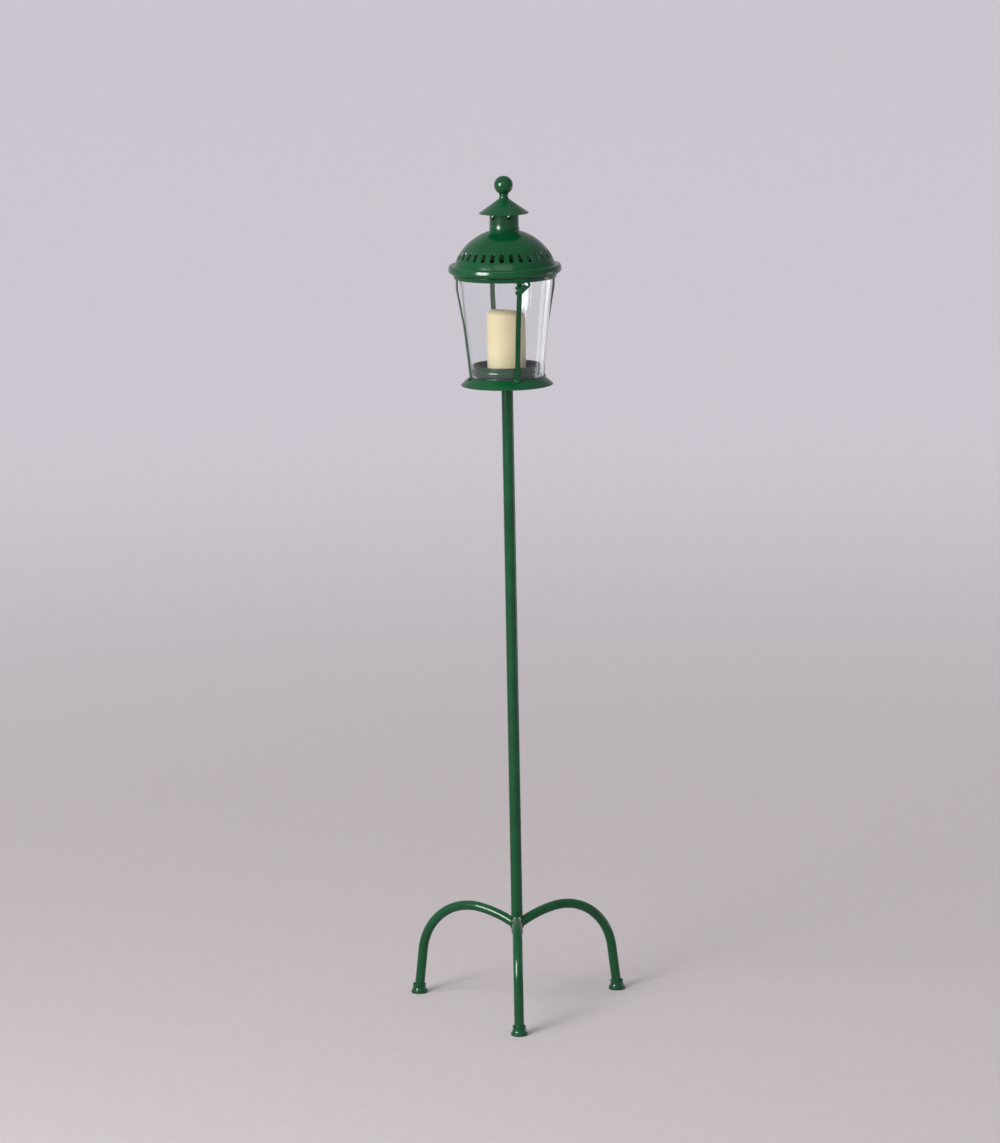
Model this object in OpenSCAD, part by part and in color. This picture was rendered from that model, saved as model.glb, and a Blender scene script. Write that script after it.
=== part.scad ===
// Candle lantern in the style of a street lamp, on a pole with three bent tube legs.
// Origin: on the floor under the pole's axis. +Z up, front towards -Y, millimetres.
// The front strap carries the catch and the lid hinges opposite it, at the back.

/* [Pole] */
// Height of the seat that the glass stands on, above the floor
seat_z = 999; // [700:1:1400]
// Outer diameter of the pole
pole_d = 18; // [14:0.5:26]
// Wall of the pole tube
pole_wall = 1.2; // [0.8:0.1:2]
// Length of the pole below the legs' joints
pole_tail = 16; // [12:1:40]
// Length of the threaded insert in the pole's top
insert_l = 24; // [18:1:40]
// Depth that the bottom plug reaches into the pole
plug_l = 10; // [6:1:20]

/* [Legs] */
// Radius of the circle on which the feet stand
leg_reach = 182; // [150:1:240]
// Height of the top of a leg's curve, at the tube's centre
leg_peak_z = 152; // [130:1:200]
// Outer diameter of a leg tube
leg_d = 15; // [10:0.5:20]
// Wall of a leg tube
leg_wall = 1.2; // [0.8:0.1:2]
// Bend radius between the pole and the peak
leg_inner_bend = 190; // [150:1:260]
// Bend radius between the peak and the foot
leg_outer_bend = 93; // [60:1:110]
// Lean of a leg's straight end, in degrees
leg_splay = 7.5; // [2:0.5:15]

/* [Feet] */
// Diameter of a foot's sole
foot_d = 26; // [22:0.5:36]
// Height of a foot
foot_h = 15; // [12:0.5:24]
// Floor of a foot under the leg tube
foot_floor = 3; // [2:0.5:5]
// Wall of a foot's neck around the leg tube
foot_wall = 2.2; // [1.6:0.1:4]

/* [Base] */
// Width of the sloping brim of the base flange
brim_w = 14.6; // [8:0.2:24]
// Drop of the brim from the seat to its edge
brim_drop = 13.5; // [6:0.5:20]
// Thickness of the base flange's sheet
flange_t = 1.2; // [0.8:0.1:2]
// Diameter of the screw that holds the base to the pole
screw_d = 6; // [4:0.5:8]
// Length of the screw
screw_l = 20; // [14:1:30]

/* [Candle cup] */
// Outer radius of the cup's wall
cup_r = 52.6; // [44:0.2:54]
// Height of the cup
cup_h = 17; // [12:0.5:24]
// Height of the cup's narrower foot
cup_foot_h = 3.5; // [2:0.5:6]
// Thickness of the cup's sheet
cup_t = 1; // [0.6:0.1:1.6]

/* [Glass] */
// Outer radius of the glass at its bottom edge
glass_r = 56.6; // [56:0.2:70]
// Height of the glass
glass_h = 157; // [110:1:220]
// Flare of the glass wall, in degrees from upright
glass_flare = 6.3; // [2:0.1:10]
// Wall of the glass
glass_t = 2; // [1.5:0.1:3]

/* [Straps] */
// Compass angle of the front strap, from the front towards +X
strap_turn = 16; // [0:1:40]
// Width of a strap
strap_w = 8; // [5:0.5:12]
// Thickness of a strap
strap_t = 1.6; // [1:0.1:2.5]
// Width of the tab at a strap's lower end
tab_w = 10; // [8:0.5:14]
// Height of that tab above the seat
tab_h = 17; // [10:1:25]
// Length of the strap's foot along the brim
strap_foot_l = 6; // [4:0.5:10]
// Diameter of the strap rivets
rivet_d = 3; // [2:0.25:4]

/* [Top ring] */
// Thickness of the ring's sheet
ring_t = 1.2; // [0.8:0.1:2]
// Height of the ring's skirt below its ledge
skirt_h = 6.6; // [5:0.2:10]
// Height of the collar that centres the lid
collar_h = 7; // [4:0.5:10]

/* [Lid] */
// Radius of the rolled bead around the lid's edge
bead_r = 6.6; // [4:0.2:9]
// Thickness of the lid's sheet
lid_t = 1.2; // [0.8:0.1:2]
// How much the dome's radius exceeds the bead's centre line
dome_extra = 2.1; // [0.5:0.1:20]
// Number of air slots around the dome
slot_count = 30; // [12:1:32]
// Width of an air slot
slot_w = 6.7; // [4:0.1:8]
// Length of an air slot
slot_l = 14.6; // [9:0.2:18]
// Height of the slots on the dome, in degrees above its centre
slot_tilt = 32.5; // [29:0.5:40]

/* [Chimney] */
// Outer radius of the chimney
chimney_r = 22.5; // [16:0.5:30]
// Height of the chimney between the dome and the cap's edge
chimney_h = 27.4; // [20:0.2:40]
// Wall of the chimney
chimney_t = 1; // [0.6:0.1:1.6]
// Number of round holes around the chimney
hole_count = 5; // [3:1:8]
// Diameter of those holes
hole_d = 7; // [4:0.5:9]
// Overhang of the cap around the chimney
cap_overhang = 16; // [8:0.5:24]
// Slope of the cap, in degrees from level
cap_slope = 35.2; // [25:0.5:45]

/* [Finial] */
// Diameter of the finial ball
ball_d = 29; // [20:0.5:40]
// Radius of the neck under the ball
neck_r = 7.1; // [5:0.1:9]
// Height of the neck between the cap and the ball
neck_h = 7.6; // [5:0.2:14]
// Diameter of the finial's stud
stud_d = 6; // [4:0.5:8]

/* [Hinge] */
// Outer diameter of the hinge's knuckles
knuckle_d = 6.4; // [5.5:0.1:9]
// Width of the middle knuckle
knuckle_w = 10; // [6:0.5:16]
// Width of each outer knuckle
side_knuckle_w = 5; // [4:0.5:8]
// Diameter of the hinge pin
hinge_pin_d = 3; // [2:0.1:3.5]

/* [Catch] */
// Width of the tongue on the lid
tongue_w = 21; // [15:0.5:26]
// How far the tongue hangs below the ring's ledge
tongue_drop = 7.6; // [6:0.2:10]
// Distance from the catch's pivot to the keeper stud
catch_l = 13.5; // [11:0.5:18]
// Turn of the catch from its open rest to closed, in degrees
catch_swing = 48; // [40:1:70]
// Thickness of the catch plate
catch_t = 1.8; // [1.2:0.1:3]
// Diameter of the catch's pivot pin
pivot_d = 4; // [3:0.25:5]
// Diameter of the keeper stud
keeper_d = 3.2; // [2.5:0.1:4]

/* [Candle] */
// Diameter of the candle
candle_d = 60; // [40:1:76]
// Height of the candle
candle_h = 103; // [40:1:110]
// Depth of the hollow around the wick
pool_depth = 5; // [2:0.5:10]
// Height of the wick above the hollow
wick_h = 9; // [5:0.5:14]

/* [Hidden] */
$fn = 96;

enamel = "#1d6a41";
bare_steel = "#9a9c9c";
clear_glass = [0.85, 0.92, 0.92, 0.35];
wax = "#efe2bd";

// Clearances: between pieces that move on each other, that run on a pin, and that only fit
move_gap = 0.3;
run_gap = 0.05;
fit_gap = 0.1;
cut = 1;                       // how far a cutting body passes the surface that it cuts

// Legs: places in the plane of one leg, from the pole outwards and up. The two bends and the
// straight end are joined in a frame that leans by leg_splay, centred on the outer bend.
legs = [0, 120, 240];          // compass angles of the legs, from the front towards +X
bend_z = leg_peak_z - leg_outer_bend;
leg_end_z = bend_z + leg_outer_bend * sin(leg_splay);
bend_u = leg_reach - leg_outer_bend * cos(leg_splay) - leg_end_z * tan(leg_splay);
bend_step = leg_inner_bend - leg_outer_bend;
inner_u = bend_u + bend_step * sin(leg_splay);
inner_z = bend_z - bend_step * cos(leg_splay);
leg_start_turn = asin(inner_u / leg_inner_bend) - leg_splay;
leg_tip_z = foot_floor + leg_d / 2 * sin(leg_splay);
leg_straight = (leg_end_z - leg_tip_z) / cos(leg_splay);
joint_u = pole_d / 2;
joint_z = inner_z + sqrt(pow(leg_inner_bend, 2) - pow(inner_u - joint_u, 2));
foot_u = leg_reach - foot_h / 2 * tan(leg_splay);

// Pole
pole_top = seat_z - flange_t;
pole_bottom = joint_z - pole_tail;
pole_bore = pole_d - 2 * pole_wall;

// Base and cup
flat_r = glass_r + 0.4;
brim_slope = atan(brim_drop / brim_w);
cup_step = 6.6;                // how much narrower the cup's foot is than its wall
cup_foot_r = cup_r - cup_step;
cup_floor_z = seat_z + cup_t;
cup_bead = 1.4;                // how far the cup's bead and lip stand proud
cup_bead_share = 0.58;         // height of that bead, as a share of the cup's
screw_head_r = screw_d * 0.95;

// Glass and straps
glass_top = seat_z + glass_h;
glass_top_r = glass_r + glass_h * tan(glass_flare);
strap_gap = 0.6;
ring_clear = 2.7;              // room between the strap on the glass and the top ring
ring_r = glass_top_r + strap_t + ring_clear;   // inside of the top ring
strap_top_out = ring_r - 0.15;
straps = [0, 90, 180, 270];    // turns of the four straps from the front one

// Top ring
ledge_rise = 2.1;              // height of the ledge above the glass
ledge_z = glass_top + ledge_rise;
ring_out = ring_r + ring_t;
strap_bend_drop = 80;          // how far below the ledge the straps start to bend outwards
strap_bend_z = ledge_z - strap_bend_drop;
strap_joggle_h = 58;           // height over which they reach the ring

// Lid
bead_out = 1.2;                // how far the bead's centre line lies outside the ring
bead_u = ring_out + bead_out;
bead_z = ledge_z + move_gap + bead_r;
ledge_r = bead_u + 1;
rim_r = bead_u + bead_r;
dome_r = bead_u + dome_extra;
dome_meet = 2.5;               // how far inside the bead's centre line the dome meets it
dome_z = bead_z + sqrt(pow(bead_r, 2) - pow(dome_meet, 2))
       - sqrt(pow(dome_r, 2) - pow(bead_u - dome_meet, 2));

// Chimney and cap
chimney_seat = dome_z + sqrt(pow(dome_r, 2) - pow(chimney_r, 2));
cap_r = chimney_r + cap_overhang;
cap_z = chimney_seat + chimney_h;
cap_t = 1.2;
cap_top = cap_z + (cap_r - neck_r) * tan(cap_slope);
hole_drop = 5.8;               // how far below the cap's edge the holes lie
hole_z = cap_z - hole_drop;
hole_turn = 20.5;              // compass angle of the first hole
bridge_drop = 6;               // room between the holes and the bridge under them
bridge_z = hole_z - hole_d / 2 - bridge_drop;
bridge_t = 1.5;
nut_h = 5;
ball_z = cap_top + neck_h + sqrt(pow(ball_d / 2, 2) - pow(neck_r, 2));

// Hinge, on the far side from the catch
hinge_out = 4;                 // how far the hinge's axis lies outside the lid's rim
hinge_drop = 2.6;              // and below the ledge
hinge_u = rim_r + hinge_out;
hinge_z = ledge_z - hinge_drop;
leaf_t = 1.5;

// Catch
tongue_t = 1.2;
tongue_u = ledge_r + 0.6;      // inner face of the tongue
catch_u = tongue_u + tongue_t + move_gap;
keeper_drop = 4.6;             // how far below the ledge the keeper stud lies
keeper_z = ledge_z - keeper_drop;
pivot_z = keeper_z - catch_l;
keeper_head = 0.9;

// Puts the +X half-plane of its children at a compass angle from the front towards +X
module compass(angle) {
    rotate([0, 0, angle - 90]) children();
}

// A cylinder along the radial direction between two radii, at a height
module radial_pin(d, from_u, to_u, z) {
    translate([from_u, 0, z]) rotate([0, 90, 0]) cylinder(d = d, h = to_u - from_u);
}

// Stands an outline drawn in (radius, height) upright and gives it a width
module upright(width) {
    rotate([90, 0, 0]) linear_extrude(width, center = true) children();
}

// ---- Stand ----

module pole() {
    color(enamel) translate([0, 0, pole_bottom]) difference() {
        cylinder(d = pole_d, h = pole_top - pole_bottom);
        translate([0, 0, -cut]) cylinder(d = pole_bore, h = pole_top - pole_bottom + 2 * cut);
    }
}

// The leaning frame of one leg, with its origin at the outer bend's centre
module leg_frame() {
    translate([bend_u, 0, bend_z]) rotate([0, -leg_splay, 0]) children();
}

// Sweeps an outline around the inner bend, over an angle that starts at the outer bend
module inner_bend(angle) {
    translate([0, 0, -bend_step]) rotate([90, 0, 0]) rotate([0, 0, 90])
        rotate_extrude(angle = angle) translate([leg_inner_bend, 0]) children();
}

module leg_end(d, overrun = 0) {
    leg_frame() translate([leg_outer_bend, 0, -leg_straight - overrun])
        cylinder(d = d, h = leg_straight + overrun);
}

// The curve of one leg as a solid rod: inner bend, outer bend and straight end
module leg_rod(d, overrun = 0) {
    leg_frame() {
        inner_bend(leg_start_turn) circle(d = d);
        rotate([90, 0, 0]) rotate_extrude(angle = 90) translate([leg_outer_bend, 0]) circle(d = d);
    }
    leg_end(d, overrun);
}

// What lies beyond a leg's own share of the pole, where thick legs are mitred to one another
module other_shares() {
    for (side = [0, 1]) mirror([0, side, 0]) rotate([0, 0, 180 / len(legs)])
        cube([2 * pole_d + leg_d, leg_d, leg_peak_z + leg_d]);
}

module leg(angle) {
    color(enamel) compass(angle) difference() {
        leg_rod(leg_d);
        leg_rod(leg_d - 2 * leg_wall, cut);
        cylinder(d = pole_d, h = leg_peak_z + leg_d);
        other_shares();
    }
}

module leg_front() { leg(legs[0]); }
module leg_right() { leg(legs[1]); }
module leg_left() { leg(legs[2]); }

// Flared cap with a blind socket that leans with the leg
module foot(angle) {
    neck = leg_d / 2 + foot_wall;
    flare_z = foot_h - 3;
    flare_r = flare_z - 3;
    color(enamel) compass(angle) difference() {
        translate([foot_u, 0, 0]) rotate_extrude() difference() {
            square([foot_d / 2, foot_h]);
            translate([neck + flare_r, flare_z]) circle(r = flare_r);
            translate([neck, flare_z]) square([foot_d, foot_h]);
        }
        leg_end(leg_d + 2 * fit_gap);
    }
}

module foot_front() { foot(legs[0]); }
module foot_right() { foot(legs[1]); }
module foot_left() { foot(legs[2]); }

module pole_bottom_plug() {
    color(enamel) translate([0, 0, pole_bottom]) {
        translate([0, 0, -2]) cylinder(d = pole_d, h = 2);
        cylinder(d = pole_bore - 2 * fit_gap, h = plug_l);
    }
}

// The screw's outline from its head down; grow widens it into the hole that takes it
module screw_shape(grow = 0) {
    translate([0, 0, cup_floor_z]) mirror([0, 0, 1]) {
        cylinder(r1 = screw_head_r + grow, r2 = screw_d / 2 + grow, h = screw_head_r - screw_d / 2);
        cylinder(d = screw_d + 2 * grow, h = screw_l + grow);
    }
}

module pole_top_insert() {
    color(bare_steel) difference() {
        translate([0, 0, pole_top - insert_l])
            cylinder(d = pole_bore - 2 * fit_gap, h = insert_l);
        screw_shape(run_gap);
    }
}

module mounting_screw() {
    socket_d = screw_d * 0.7;
    color(bare_steel) difference() {
        screw_shape();
        translate([0, 0, cup_floor_z - 2]) cylinder(d = socket_d, h = 2 + cut, $fn = 6);
    }
}

// ---- Lantern body ----

module base_flange() {
    inner_flat = flat_r - flange_t * tan(brim_slope / 2);
    edge_in = flat_r + brim_w - flange_t / sin(brim_slope);
    color(enamel) difference() {
        rotate_extrude() polygon([
            [0, seat_z - flange_t], [inner_flat, seat_z - flange_t], [edge_in, seat_z - brim_drop],
            [flat_r + brim_w, seat_z - brim_drop], [flat_r, seat_z], [0, seat_z]]);
        screw_shape(fit_gap);
        for (turn = straps) compass(strap_turn + turn) foot_rivet(fit_gap, true);
    }
}

// Pan with a narrower foot, a bead half way up and a rolled lip
module candle_cup() {
    wall_in = cup_r - cup_t;
    foot_z = seat_z + cup_foot_h;
    top = seat_z + cup_h;
    bead_at = seat_z + cup_h * cup_bead_share;
    color(enamel) difference() {
        rotate_extrude() union() {
            polygon([
                [0, seat_z], [cup_foot_r, seat_z], [cup_foot_r, foot_z - cup_t], [cup_r, foot_z],
                [cup_r, top], [wall_in, top], [wall_in, foot_z + cup_t],
                [cup_foot_r - cup_t, foot_z], [cup_foot_r - cup_t, cup_floor_z], [0, cup_floor_z]]);
            translate([cup_r, bead_at]) intersection() {
                circle(r = cup_bead);
                translate([-cup_t, -cup_bead]) square([cup_t + cup_bead, 2 * cup_bead]);
            }
            translate([cup_r - cup_t / 2, top]) circle(r = cup_bead / 1.4);
        }
        screw_shape(fit_gap);
    }
}

module glass_shade() {
    color(clear_glass) rotate_extrude() polygon([
        [glass_r - glass_t, seat_z], [glass_r, seat_z],
        [glass_top_r, glass_top], [glass_top_r - glass_t, glass_top]]);
}

// Inner face of a strap's sloping length, at a height
function strap_in(z) = glass_r + strap_gap + (z - seat_z) * tan(glass_flare);

strap_foot_u = strap_in(seat_z);
strap_foot_z = seat_z - (strap_foot_u - flat_r) * tan(brim_slope);

// Side outline of a strap: foot on the brim, sloping length, joggle out to the ring
module strap_side() {
    along = [cos(brim_slope), -sin(brim_slope)];
    up = [sin(brim_slope), cos(brim_slope)];
    heel = [strap_foot_u, strap_foot_z];
    toe = heel + strap_foot_l * along;
    bend = heel + strap_t * (1 - sin(brim_slope)) / cos(brim_slope) * along + strap_t * up;
    joggle_z = strap_bend_z + strap_joggle_h;
    top = ledge_z + collar_h - 2;
    polygon([
        heel, toe, toe + strap_t * up, bend,
        [strap_in(strap_bend_z) + strap_t, strap_bend_z], [strap_top_out, joggle_z],
        [strap_top_out, top], [strap_top_out - strap_t, top],
        [strap_top_out - strap_t, joggle_z], [strap_in(strap_bend_z), strap_bend_z]]);
}

// Keeps the lower tab of a strap: round-ended on the brim, straight above the seat
module tab_zone() {
    reach = strap_foot_l - tab_w / 2;
    translate([strap_foot_u, 0, strap_foot_z]) rotate([0, brim_slope, 0])
        translate([reach, 0, -tab_w]) cylinder(d = tab_w, h = 2 * tab_w);
    translate([strap_foot_u + reach * cos(brim_slope), 0, seat_z - brim_drop])
        mirror([1, 0, 0]) translate([0, -tab_w / 2, 0]) cube([tab_w, tab_w, brim_drop + tab_h]);
    translate([strap_foot_u - tab_w, -tab_w / 2, seat_z])
        cube([2.5 * tab_w, tab_w, tab_h]);
}

module strap(turn) {
    color(enamel) compass(strap_turn + turn) difference() {
        union() {
            intersection() {
                upright(tab_w) strap_side();
                tab_zone();
            }
            intersection() {
                upright(strap_w) strap_side();
                translate([0, -strap_w / 2, seat_z + tab_h - cut])
                    cube([2 * ring_r, strap_w, glass_h + collar_h]);
            }
        }
        foot_rivet(fit_gap);
        top_rivet(fit_gap);
        if (turn == 0) radial_pin(pivot_d + 2 * fit_gap, ring_r / 2, ring_out, pivot_z);
    }
}

module strap_front() { strap(straps[0]); }
module strap_right() { strap(straps[1]); }
module strap_back() { strap(straps[2]); }
module strap_left() { strap(straps[3]); }

// Rivet square to the brim, flush with the strap's foot and headed under the flange
module foot_rivet(grow = 0, shank_only = false) {
    at = strap_foot_l * 0.55;
    head_t = 1;
    under = flange_t + 0.15;   // a flat head clears the curved underside by this much
    translate([strap_foot_u, 0, strap_foot_z]) rotate([0, brim_slope, 0]) translate([at, 0, 0]) {
        translate([0, 0, -under - grow])
            cylinder(d = rivet_d + 2 * grow, h = under + strap_t + grow);
        if (!shank_only && grow == 0) translate([0, 0, -under - head_t])
            cylinder(d = rivet_d + 2, h = head_t);
    }
}

module strap_foot_rivets() {
    color(enamel) for (turn = straps) compass(strap_turn + turn) foot_rivet();
}

// Rivet through the ring's skirt and a strap, flush outside and headed inside
module top_rivet(grow = 0) {
    z = ledge_z - skirt_h / 2 - ring_t / 2;
    inside = strap_top_out - strap_t;
    radial_pin(rivet_d + 2 * grow, inside - grow, ring_out - 0.1, z);
    if (grow == 0) radial_pin(rivet_d + 1.6, inside - 0.8, inside, z);
}

module strap_top_rivets() {
    color(enamel) for (turn = straps) compass(strap_turn + turn) top_rivet();
}

// Skirt, ledge for the lid and collar inside the lid, from one strip
module top_ring() {
    bottom = ledge_z - skirt_h;
    color(enamel) difference() {
        rotate_extrude() union() {
            translate([ring_r, bottom]) square([ring_t, skirt_h + collar_h]);
            translate([ring_r, ledge_z - ring_t]) square([ledge_r - ring_r, ring_t]);
        }
        for (turn = straps) compass(strap_turn + turn) top_rivet(fit_gap);
    }
}

// ---- Hinge ----

module knuckle(from_y, width) {
    translate([hinge_u, from_y, hinge_z]) rotate([-90, 0, 0]) cylinder(d = knuckle_d, h = width);
}

module pin_bore(gap) {
    translate([hinge_u, -rim_r / 2, hinge_z]) rotate([-90, 0, 0])
        cylinder(d = hinge_pin_d + 2 * gap, h = rim_r);
}

module hinge_ring_leaf() {
    color(enamel) compass(strap_turn + 180) difference() {
        union() {
            knuckle(-knuckle_w / 2, knuckle_w);
            translate([ring_r, -knuckle_w / 2, hinge_z - knuckle_d / 2])
                cube([hinge_u - ring_r, knuckle_w, leaf_t]);
        }
        cylinder(r = ring_out, h = ledge_z);
        pin_bore(0.01);
    }
}

module hinge_lid_leaf() {
    side_y = knuckle_w / 2 + move_gap;
    half = side_y + side_knuckle_w;
    plate_in = hinge_u - knuckle_d / 2;
    bridge = hinge_z + knuckle_d / 2 + 2 * move_gap;
    plate_top = bead_z + bead_r / 2;
    color(enamel) compass(strap_turn + 180) difference() {
        union() {
            for (y = [-half, side_y]) {
                knuckle(y, side_knuckle_w);
                translate([plate_in, y, hinge_z])
                    cube([leaf_t, side_knuckle_w, plate_top - hinge_z]);
            }
            translate([rim_r - 1.5, -half, bridge])
                cube([plate_in + leaf_t - rim_r + 1.5, 2 * half, plate_top - bridge]);
        }
        rotate_extrude() translate([bead_u, bead_z]) circle(r = bead_r);
        pin_bore(run_gap);
    }
}

module hinge_pin() {
    length = knuckle_w + 2 * (side_knuckle_w + move_gap) + 2;
    color(bare_steel) compass(strap_turn + 180)
        translate([hinge_u, -length / 2, hinge_z]) rotate([-90, 0, 0])
            cylinder(d = hinge_pin_d, h = length);
}

// ---- Catch ----

// Shouldered rivet through the front strap that the catch turns on
module catch_pivot() {
    strap_face = strap_top_out;
    color(enamel) compass(strap_turn) {
        radial_pin(pivot_d, strap_face - strap_t - 0.8, catch_u + catch_t + move_gap, pivot_z);
        radial_pin(pivot_d + 1.6, strap_face - strap_t - 0.8, strap_face - strap_t, pivot_z);
        radial_pin(pivot_d + 3.5, strap_face, catch_u - run_gap, pivot_z);
        radial_pin(pivot_d + 3.5, catch_u + catch_t + run_gap, catch_u + catch_t + 1.2, pivot_z);
    }
}

// A lobe: a disc at a distance and angle from the pivot, with a slightly slimmer arm to it
module lobe(angle, reach, r) {
    slimmer = 0.4;
    rotate(angle) translate([0, reach]) circle(r = r);
    rotate(angle) translate([slimmer - r, 0]) square([2 * (r - slimmer), reach]);
}

// Outline of the catch, pivot at the origin and its arm towards +Y when closed
module catch_outline() {
    body_r = pivot_d / 2 + 3.4;
    claw_r = keeper_d / 2 + 3.6;
    finger_r = 2.8;            // the two lobes that a finger turns the catch by
    finger_reach = 7.5;
    tail_r = 3.2;
    tail_reach = 6.5;
    difference() {
        union() {
            circle(r = body_r);
            lobe(0, catch_l, claw_r);
            lobe(100, finger_reach, finger_r);
            lobe(165, tail_reach, tail_r);
        }
        circle(d = pivot_d + 2 * run_gap);
        claw_slot();
    }
}

// Slot along the keeper's arc, open on the side that leads as the catch closes
module claw_slot() {
    half = keeper_d / 2 + move_gap;
    translate([0, catch_l]) circle(r = half);
    intersection() {
        difference() {
            circle(r = catch_l + half);
            circle(r = catch_l - half);
        }
        translate([-2 * catch_l, 0]) square(2 * catch_l);
    }
}

// Seen from outside the lantern, the catch rests turned clockwise from closed
module catch_plate() {
    color(enamel) compass(strap_turn) translate([catch_u, 0, pivot_z])
        rotate([-catch_swing, 0, 0]) rotate([90, 0, 90]) linear_extrude(catch_t) catch_outline();
}

// Round-ended plate under the bead, in front of the ring
module lid_tongue() {
    corner = tongue_w * 0.3;
    bottom = ledge_z - tongue_drop;
    color(enamel) compass(strap_turn) difference() {
        translate([tongue_u, 0, 0]) rotate([90, 0, 90]) linear_extrude(tongue_t) union() {
            translate([-tongue_w / 2, bottom + corner]) square([tongue_w, bead_z - bottom - corner]);
            translate([-tongue_w / 2 + corner, bottom]) square([tongue_w - 2 * corner, corner]);
            for (side = [-1, 1]) translate([side * (tongue_w / 2 - corner), bottom + corner])
                circle(r = corner);
        }
        rotate_extrude() translate([bead_u, bead_z]) circle(r = bead_r);
        rotate_extrude() translate([0, bead_z - bead_r + 1.2]) square([bead_u + bead_r, bead_r]);
        radial_pin(keeper_d - 0.8, tongue_u - cut, tongue_u + tongue_t + cut, keeper_z);
    }
}

module keeper_stud() {
    face = tongue_u + tongue_t;
    color(enamel) compass(strap_turn) {
        radial_pin(keeper_d - 0.8 - 0.1, tongue_u, face, keeper_z);
        radial_pin(keeper_d, face, catch_u + catch_t + keeper_head, keeper_z);
    }
}

// ---- Lid ----

// Section of the dome sheet and the bead rolled around its edge
module lid_section() {
    difference() {
        union() {
            difference() {
                translate([0, dome_z]) circle(r = dome_r);
                translate([-2 * dome_r, -dome_r]) square([4 * dome_r, bead_z + dome_r]);
                translate([-2 * dome_r, 0]) square([2 * dome_r, 2 * (dome_z + dome_r)]);
            }
            translate([bead_u, bead_z]) circle(r = bead_r);
        }
        translate([0, dome_z]) circle(r = dome_r - lid_t);
        translate([bead_u, bead_z]) circle(r = bead_r - lid_t);
        translate([0, bead_z - 2 * bead_r]) square([bead_u, 2 * bead_r + 0.01]);
        translate([-1, 0]) square([chimney_r + fit_gap + 1, 2 * (dome_z + dome_r)]);
    }
}

module air_slot() {
    straight = slot_l - slot_w;
    translate([0, 0, dome_z]) rotate([0, -slot_tilt, 0]) translate([dome_r / 2, 0, 0])
        rotate([90, 0, 90]) linear_extrude(dome_r) union() {
            square([slot_w, straight], center = true);
            for (end = [-1, 1]) translate([0, end * straight / 2]) circle(d = slot_w);
        }
}

module lid_dome() {
    step = 360 / slot_count;
    color(enamel) difference() {
        rotate_extrude() lid_section();
        for (i = [0 : slot_count - 1]) compass(i * step - step / 3) air_slot();
    }
}

// Height of the cap's underside at a radius
function cap_under(u) = cap_z + (cap_r - u) * tan(cap_slope) - cap_t / cos(cap_slope);

// Tube clinched into the dome: bead above the sheet, flare below it
module chimney() {
    clinch = 1.6;
    bottom = chimney_seat - 3.2;
    bead_at = chimney_seat + clinch + 1.5;
    wall_in = chimney_r - chimney_t;
    color(enamel) difference() {
        rotate_extrude() union() {
            polygon([
                [wall_in, bottom], [chimney_r + clinch, bottom],
                [chimney_r + clinch, bottom + 0.6], [chimney_r, bottom + 1.4],
                [chimney_r, cap_under(chimney_r)], [wall_in, cap_under(wall_in)]]);
            translate([chimney_r - 0.2, bead_at]) circle(r = 1.2);
        }
        cylinder(r = wall_in, h = cap_z + cap_r);
        for (i = [0 : hole_count - 1]) compass(hole_turn + i * 360 / hole_count)
            radial_pin(hole_d, chimney_r / 2, 2 * chimney_r, hole_z);
    }
}

module chimney_cap() {
    edge = 0.9;
    color(enamel) rotate_extrude() polygon([
        [stud_d / 2 + fit_gap, cap_under(neck_r)], [neck_r, cap_under(neck_r)],
        [cap_r - edge, cap_under(cap_r - edge)], [cap_r, cap_z - edge / 2], [cap_r, cap_z],
        [neck_r, cap_top], [stud_d / 2 + fit_gap, cap_top]]);
}

// Bar across the chimney with turned-down ends, which the finial pulls the cap onto
module cap_bridge() {
    span = 2 * (chimney_r - chimney_t) - 0.2;
    bar_w = 2 * stud_d;
    drop = 6;
    color(bare_steel) intersection() {
        difference() {
            union() {
                translate([-span / 2, -bar_w / 2, bridge_z]) cube([span, bar_w, bridge_t]);
                for (side = [0, 1]) mirror([side, 0, 0])
                    translate([span / 2 - 2 * bridge_t, -bar_w / 2, bridge_z - drop])
                        cube([2 * bridge_t, bar_w, drop + bridge_t]);
            }
            cylinder(d = stud_d + 2 * fit_gap, h = cap_top);
        }
        cylinder(d = span, h = cap_top);
    }
}

module finial_stud() {
    color(bare_steel) translate([0, 0, bridge_z - nut_h - 1])
        cylinder(d = stud_d, h = ball_z - ball_d / 4 - bridge_z + nut_h + 1);
}

module finial_nut() {
    color(bare_steel) translate([0, 0, bridge_z - nut_h]) difference() {
        cylinder(d = stud_d * 1.8, h = nut_h, $fn = 6);
        translate([0, 0, -cut]) cylinder(d = stud_d + 2 * run_gap, h = nut_h + 2 * cut);
    }
}

module finial_neck() {
    waist = 0.6;
    color(enamel) difference() {
        translate([0, 0, cap_top]) rotate_extrude() difference() {
            square([neck_r, ball_z - cap_top]);
            square([stud_d / 2 + fit_gap, ball_z]);
            translate([neck_r + 2 * neck_h - waist, neck_h / 2]) circle(r = 2 * neck_h);
        }
        translate([0, 0, ball_z]) sphere(d = ball_d);
    }
}

module finial_ball() {
    color(enamel) difference() {
        translate([0, 0, ball_z]) sphere(d = ball_d);
        translate([0, 0, ball_z - ball_d])
            cylinder(d = stud_d + 2 * run_gap, h = ball_d * 0.75);
    }
}

// ---- Candle ----

candle_z = cup_floor_z + move_gap;
candle_top = candle_z + candle_h;

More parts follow.
